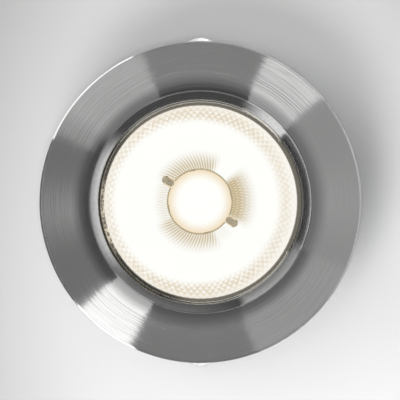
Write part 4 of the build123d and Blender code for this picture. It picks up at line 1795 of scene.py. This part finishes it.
@dataclass
class Studio:
    """Backdrop, lamps, world and camera."""

    backdrop_z: float = 66.0
    backdrop_half: float = 700.0
    backdrop_tone: float = 0.87
    backdrop_slope: Point2 = (2.1, 2.0)
    backdrop_bow: Point2 = (53.0, 16.0)
    backdrop_twist: float = 14.0
    backdrop_limits: Span = (0.45, 0.97)
    backdrop_roughness: float = 0.9
    pale: float = 0.86
    ambient: float = 0.3
    walls: float = 0.1
    horizon: float = 0.55
    rear: float = 0.8
    ambient_heights: Span = (-0.9, -0.6)
    horizon_heights: Span = (-0.04, 0.03)
    rear_heights: Span = (0.1, 0.5)
    camera_distance: float = 550.0
    camera_lean: Point2 = (0.008, 0.006)
    camera_clip: Span = (10.0, 10000.0)
    frame_width: float = 99.46
    aim: Point3 = (-0.157, -0.52, -1.2)
    sensor: float = 36.0
    boxes: tuple[Softbox, ...] = (
        Softbox("softbox_key", (-245.5, -223.0), (8.0, 62.0), (1.3, 1.1), ripple=0.4),
        Softbox("softbox_key_edge", (-240.0, -220.0), (62.0, 90.0), (1.25, 1.25), (10.0, 1.2), 1010.0),
        Softbox("softbox_key_rim", (-246.5, -220.5), (86.0, 120.0), (1.9, 1.9)),
        Softbox("softbox_across", (-64.5, -39.5), (8.0, 62.0), (0.61, 0.88), ripple=0.75),
        Softbox("softbox_across_rim", (-64.5, -39.5), (90.0, 120.0), (0.9, 0.9)),
        Softbox("softbox_side", (-147.0, -110.75), (8.0, 62.0), (0.54, 0.44), (5.0, 0.05), ripple=0.35),
        Softbox(
            "softbox_side_end", (-155.0, -140.0), (8.0, 38.0), (0.42, 0.36), distance=1010.0, ripple=0.35
        ),
        Softbox("softbox_side_edge", (-155.0, -112.5), (62.0, 90.0), (0.8, 0.28), (5.0, 2.5), 1020.0),
        Softbox("softbox_side_rim", (-157.0, -115.0), (90.0, 120.0), (1.7, 1.7)),
        Softbox("softbox_low", (-335.0, -290.75), (8.0, 62.0), (0.43, 0.28), ripple=0.3),
        Softbox("softbox_base", (-292.0, -244.0), (8.0, 52.0), (0.26, 0.27), distance=1010.0),
        Softbox("softbox_right", (-39.75, 25.0), (8.0, 55.0), (0.385, 0.44)),
        Softbox("softbox_right_glow", (-10.0, 12.0), (8.0, 32.0), (0.48, 0.44), (12.0, 12.0), 990.0),
        Softbox("softbox_right_edge", (-218.0, -155.0), (62.0, 100.0), (0.08, 0.0), (0.5, 6.0), 1030.0),
        Softbox("softbox_crest", (-222.0, -155.0), (56.0, 67.0), (2.0, 2.0), distance=990.0),
        Softbox("softbox_window", (-34.0, 33.0), (62.0, 90.0), (0.32, 1.4), (15.0, 11.0)),
        Softbox("softbox_floor", (-98.0, -40.0), (62.0, 90.0), (0.33, 0.15), (16.0, 6.0), 1040.0),
        Softbox("softbox_dim", (-220.5, -155.0), (8.0, 23.0), (0.228, 0.228)),
        Softbox("softbox_dim_curl", (-220.5, -155.0), (23.0, 50.0), (0.228, 0.11)),
        Softbox("softbox_blotch", (-193.0, -177.0), (8.0, 30.0), (0.52, 0.30), (11.0, 11.0), 990.0),
        Softbox("softbox_left_rim", (-218.0, -157.0), (90.0, 150.0), (0.2, 0.2)),
        Softbox("softbox_base_rim", (-292.0, -247.0), (90.0, 150.0), (0.32, 0.32)),
        Softbox("softbox_low_rim", (-328.0, -292.0), (90.0, 150.0), (0.6, 0.6)),
        Softbox("softbox_tip_a", (-118.0, -66.0), (5.2, 7.4), (2.1, 2.1)),
        Softbox("softbox_tip_b", (62.0, 112.0), (5.2, 7.8), (2.2, 2.2)),
    )
    keys: tuple[KeyLight, ...] = (
        KeyLight("shadow_lamp", azimuth=-239.8, offset=157.0, radius=69.0, power=7.2),
        KeyLight("shadow_lamp_low", azimuth=-135.5, offset=209.0, radius=139.0, power=3.8),
        KeyLight("shadow_lamp_near", azimuth=-180.0, offset=60.0, radius=40.0, power=1.9),
        KeyLight("fill_lamp", azimuth=0.0, offset=0.0, radius=10.0, power=2.3),
        KeyLight("rear_lamp", azimuth=-120.0, offset=600.0, radius=150.0, power=22.0, distance=-700.0),
    )

    def backdrop_paint(self, effects: Effects) -> Material:
        """Makes pale wall paint with painted light: a little brighter to +X and +Y, with painted shade at
        its sides.

        Args:
            effects: the shared node groups.

        Returns:
            The material, clear from behind.
        """
        sheet = MaterialSheet("backdrop paint", effects)
        x, y, _ = sheet.split(sheet.place())
        # Painted light and shade: slope, bow and twist paint a falloff of light over the backdrop.
        tone = x * y * self.backdrop_twist + self.backdrop_tone
        for along, slope, bow in zip((x, y), self.backdrop_slope, self.backdrop_bow):
            tone = along * (along * -bow + slope) + tone
        darkest, palest = self.backdrop_limits
        tone = tone.at_least(darkest).math("MINIMUM", palest)
        sheet.paint(
            Base_Color=sheet.tint(tone, WHITE), Roughness=self.backdrop_roughness, Specular_IOR_Level=0.0
        )
        behind = sheet.node("ShaderNodeNewGeometry", output="Backfacing")
        sheet.surface(sheet.either(behind, sheet.shader, sheet.node("ShaderNodeBsdfTransparent")))
        return sheet.material

    def build_backdrop(self, effects: Effects) -> Piece:
        """Makes the backdrop behind the light, facing the camera.

        Args:
            effects: the shared node groups.

        Returns:
            The backdrop.
        """
        half, z = self.backdrop_half, self.backdrop_z
        corners = [(-half, -half, z), (-half, half, z), (half, half, z), (half, -half, z)]
        wall = add_piece("backdrop", mesh_of("backdrop", corners, [(0, 1, 2, 3)]))
        wall.data.materials.append(self.backdrop_paint(effects))
        wall.visible_diffuse = wall.visible_glossy = wall.visible_transmission = wall.visible_shadow = False
        return wall

    def build_world(self) -> None:
        """Sets a grey room with a horizon and a brighter rear, pale to the camera and through glass."""
        world = bpy.data.worlds.new("room")
        bpy.context.scene.world = world
        world.use_nodes = True
        sheet = NodeSheet(world.node_tree)
        height = sheet.split(sheet.place("Generated"))[2]
        tone = height.ramp(self.ambient_heights, self.ambient, self.walls)
        for heights, level in ((self.horizon_heights, self.horizon), (self.rear_heights, self.rear)):
            tone = tone.at_least(height.ramp(heights, self.walls, level))
        rays = sheet.node("ShaderNodeLightPath").siblings()
        seen = rays["Is Camera Ray"].at_least(rays["Is Transmission Ray"])
        colour = sheet.mix(seen, sheet.tint(tone, WHITE), (self.pale,) * 3)
        sheet.feed(world.node_tree.nodes["Background"].inputs["Color"], colour)

    def build_camera(self) -> None:
        """Sets the camera below the light, almost straight on."""
        lens = bpy.data.cameras.new("camera")
        lens.sensor_width = self.sensor
        lens.lens = self.sensor * self.camera_distance / self.frame_width
        lens.clip_start, lens.clip_end = (distance * MM for distance in self.camera_clip)
        camera = bpy.data.objects.new("camera", lens)
        look = Vector((*self.camera_lean, 1.0)).normalized()
        right = (Vector((1.0, 0.0, 0.0)) - look * look.x).normalized()
        up = look.cross(right) * -1.0
        turn = Matrix((right, up, -look)).transposed().to_4x4()
        spot = (Vector(self.aim) - look * self.camera_distance) * MM
        camera.matrix_world = Matrix.Translation(spot) @ turn
        bpy.context.scene.collection.objects.link(camera)
        bpy.context.scene.camera = camera

    def build(self, effects: Effects) -> None:
        """Sets the whole stage.

        Args:
            effects: the shared node groups.
        """
        self.build_world()
        self.build_camera()
        for key in self.keys:
            key.build()
        self.build_backdrop(effects)
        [box.build(effects) for box in self.boxes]
        bpy.context.scene.view_settings.view_transform = "Standard"


def main() -> None:
    """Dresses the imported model, piece by piece, and sets the stage."""
    logging.basicConfig(level=logging.INFO, format="%(name)s: %(message)s")
    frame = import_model()
    finishes, trees = Finishes(), NodeTrees()
    slots = {part["node"]: part["material_slot"] for part in frame["record"]["subparts"]}
    for name, node in frame["nodes"].items():
        finishes.dress(node, slots[name])
    pieces = Bezel().build(finishes, trees)
    pieces += TorsionSprings().build(finishes, trees)
    pieces += CapScrews().build(finishes, trees)
    pieces += SoftEdged().build(finishes, frame["nodes"], slots)
    for piece in pieces:
        LOG.info("%s: %d faces", piece.name, len(piece.data.polygons))
    Studio().build(finishes.effects)


if __name__ == "__main__":
    main()
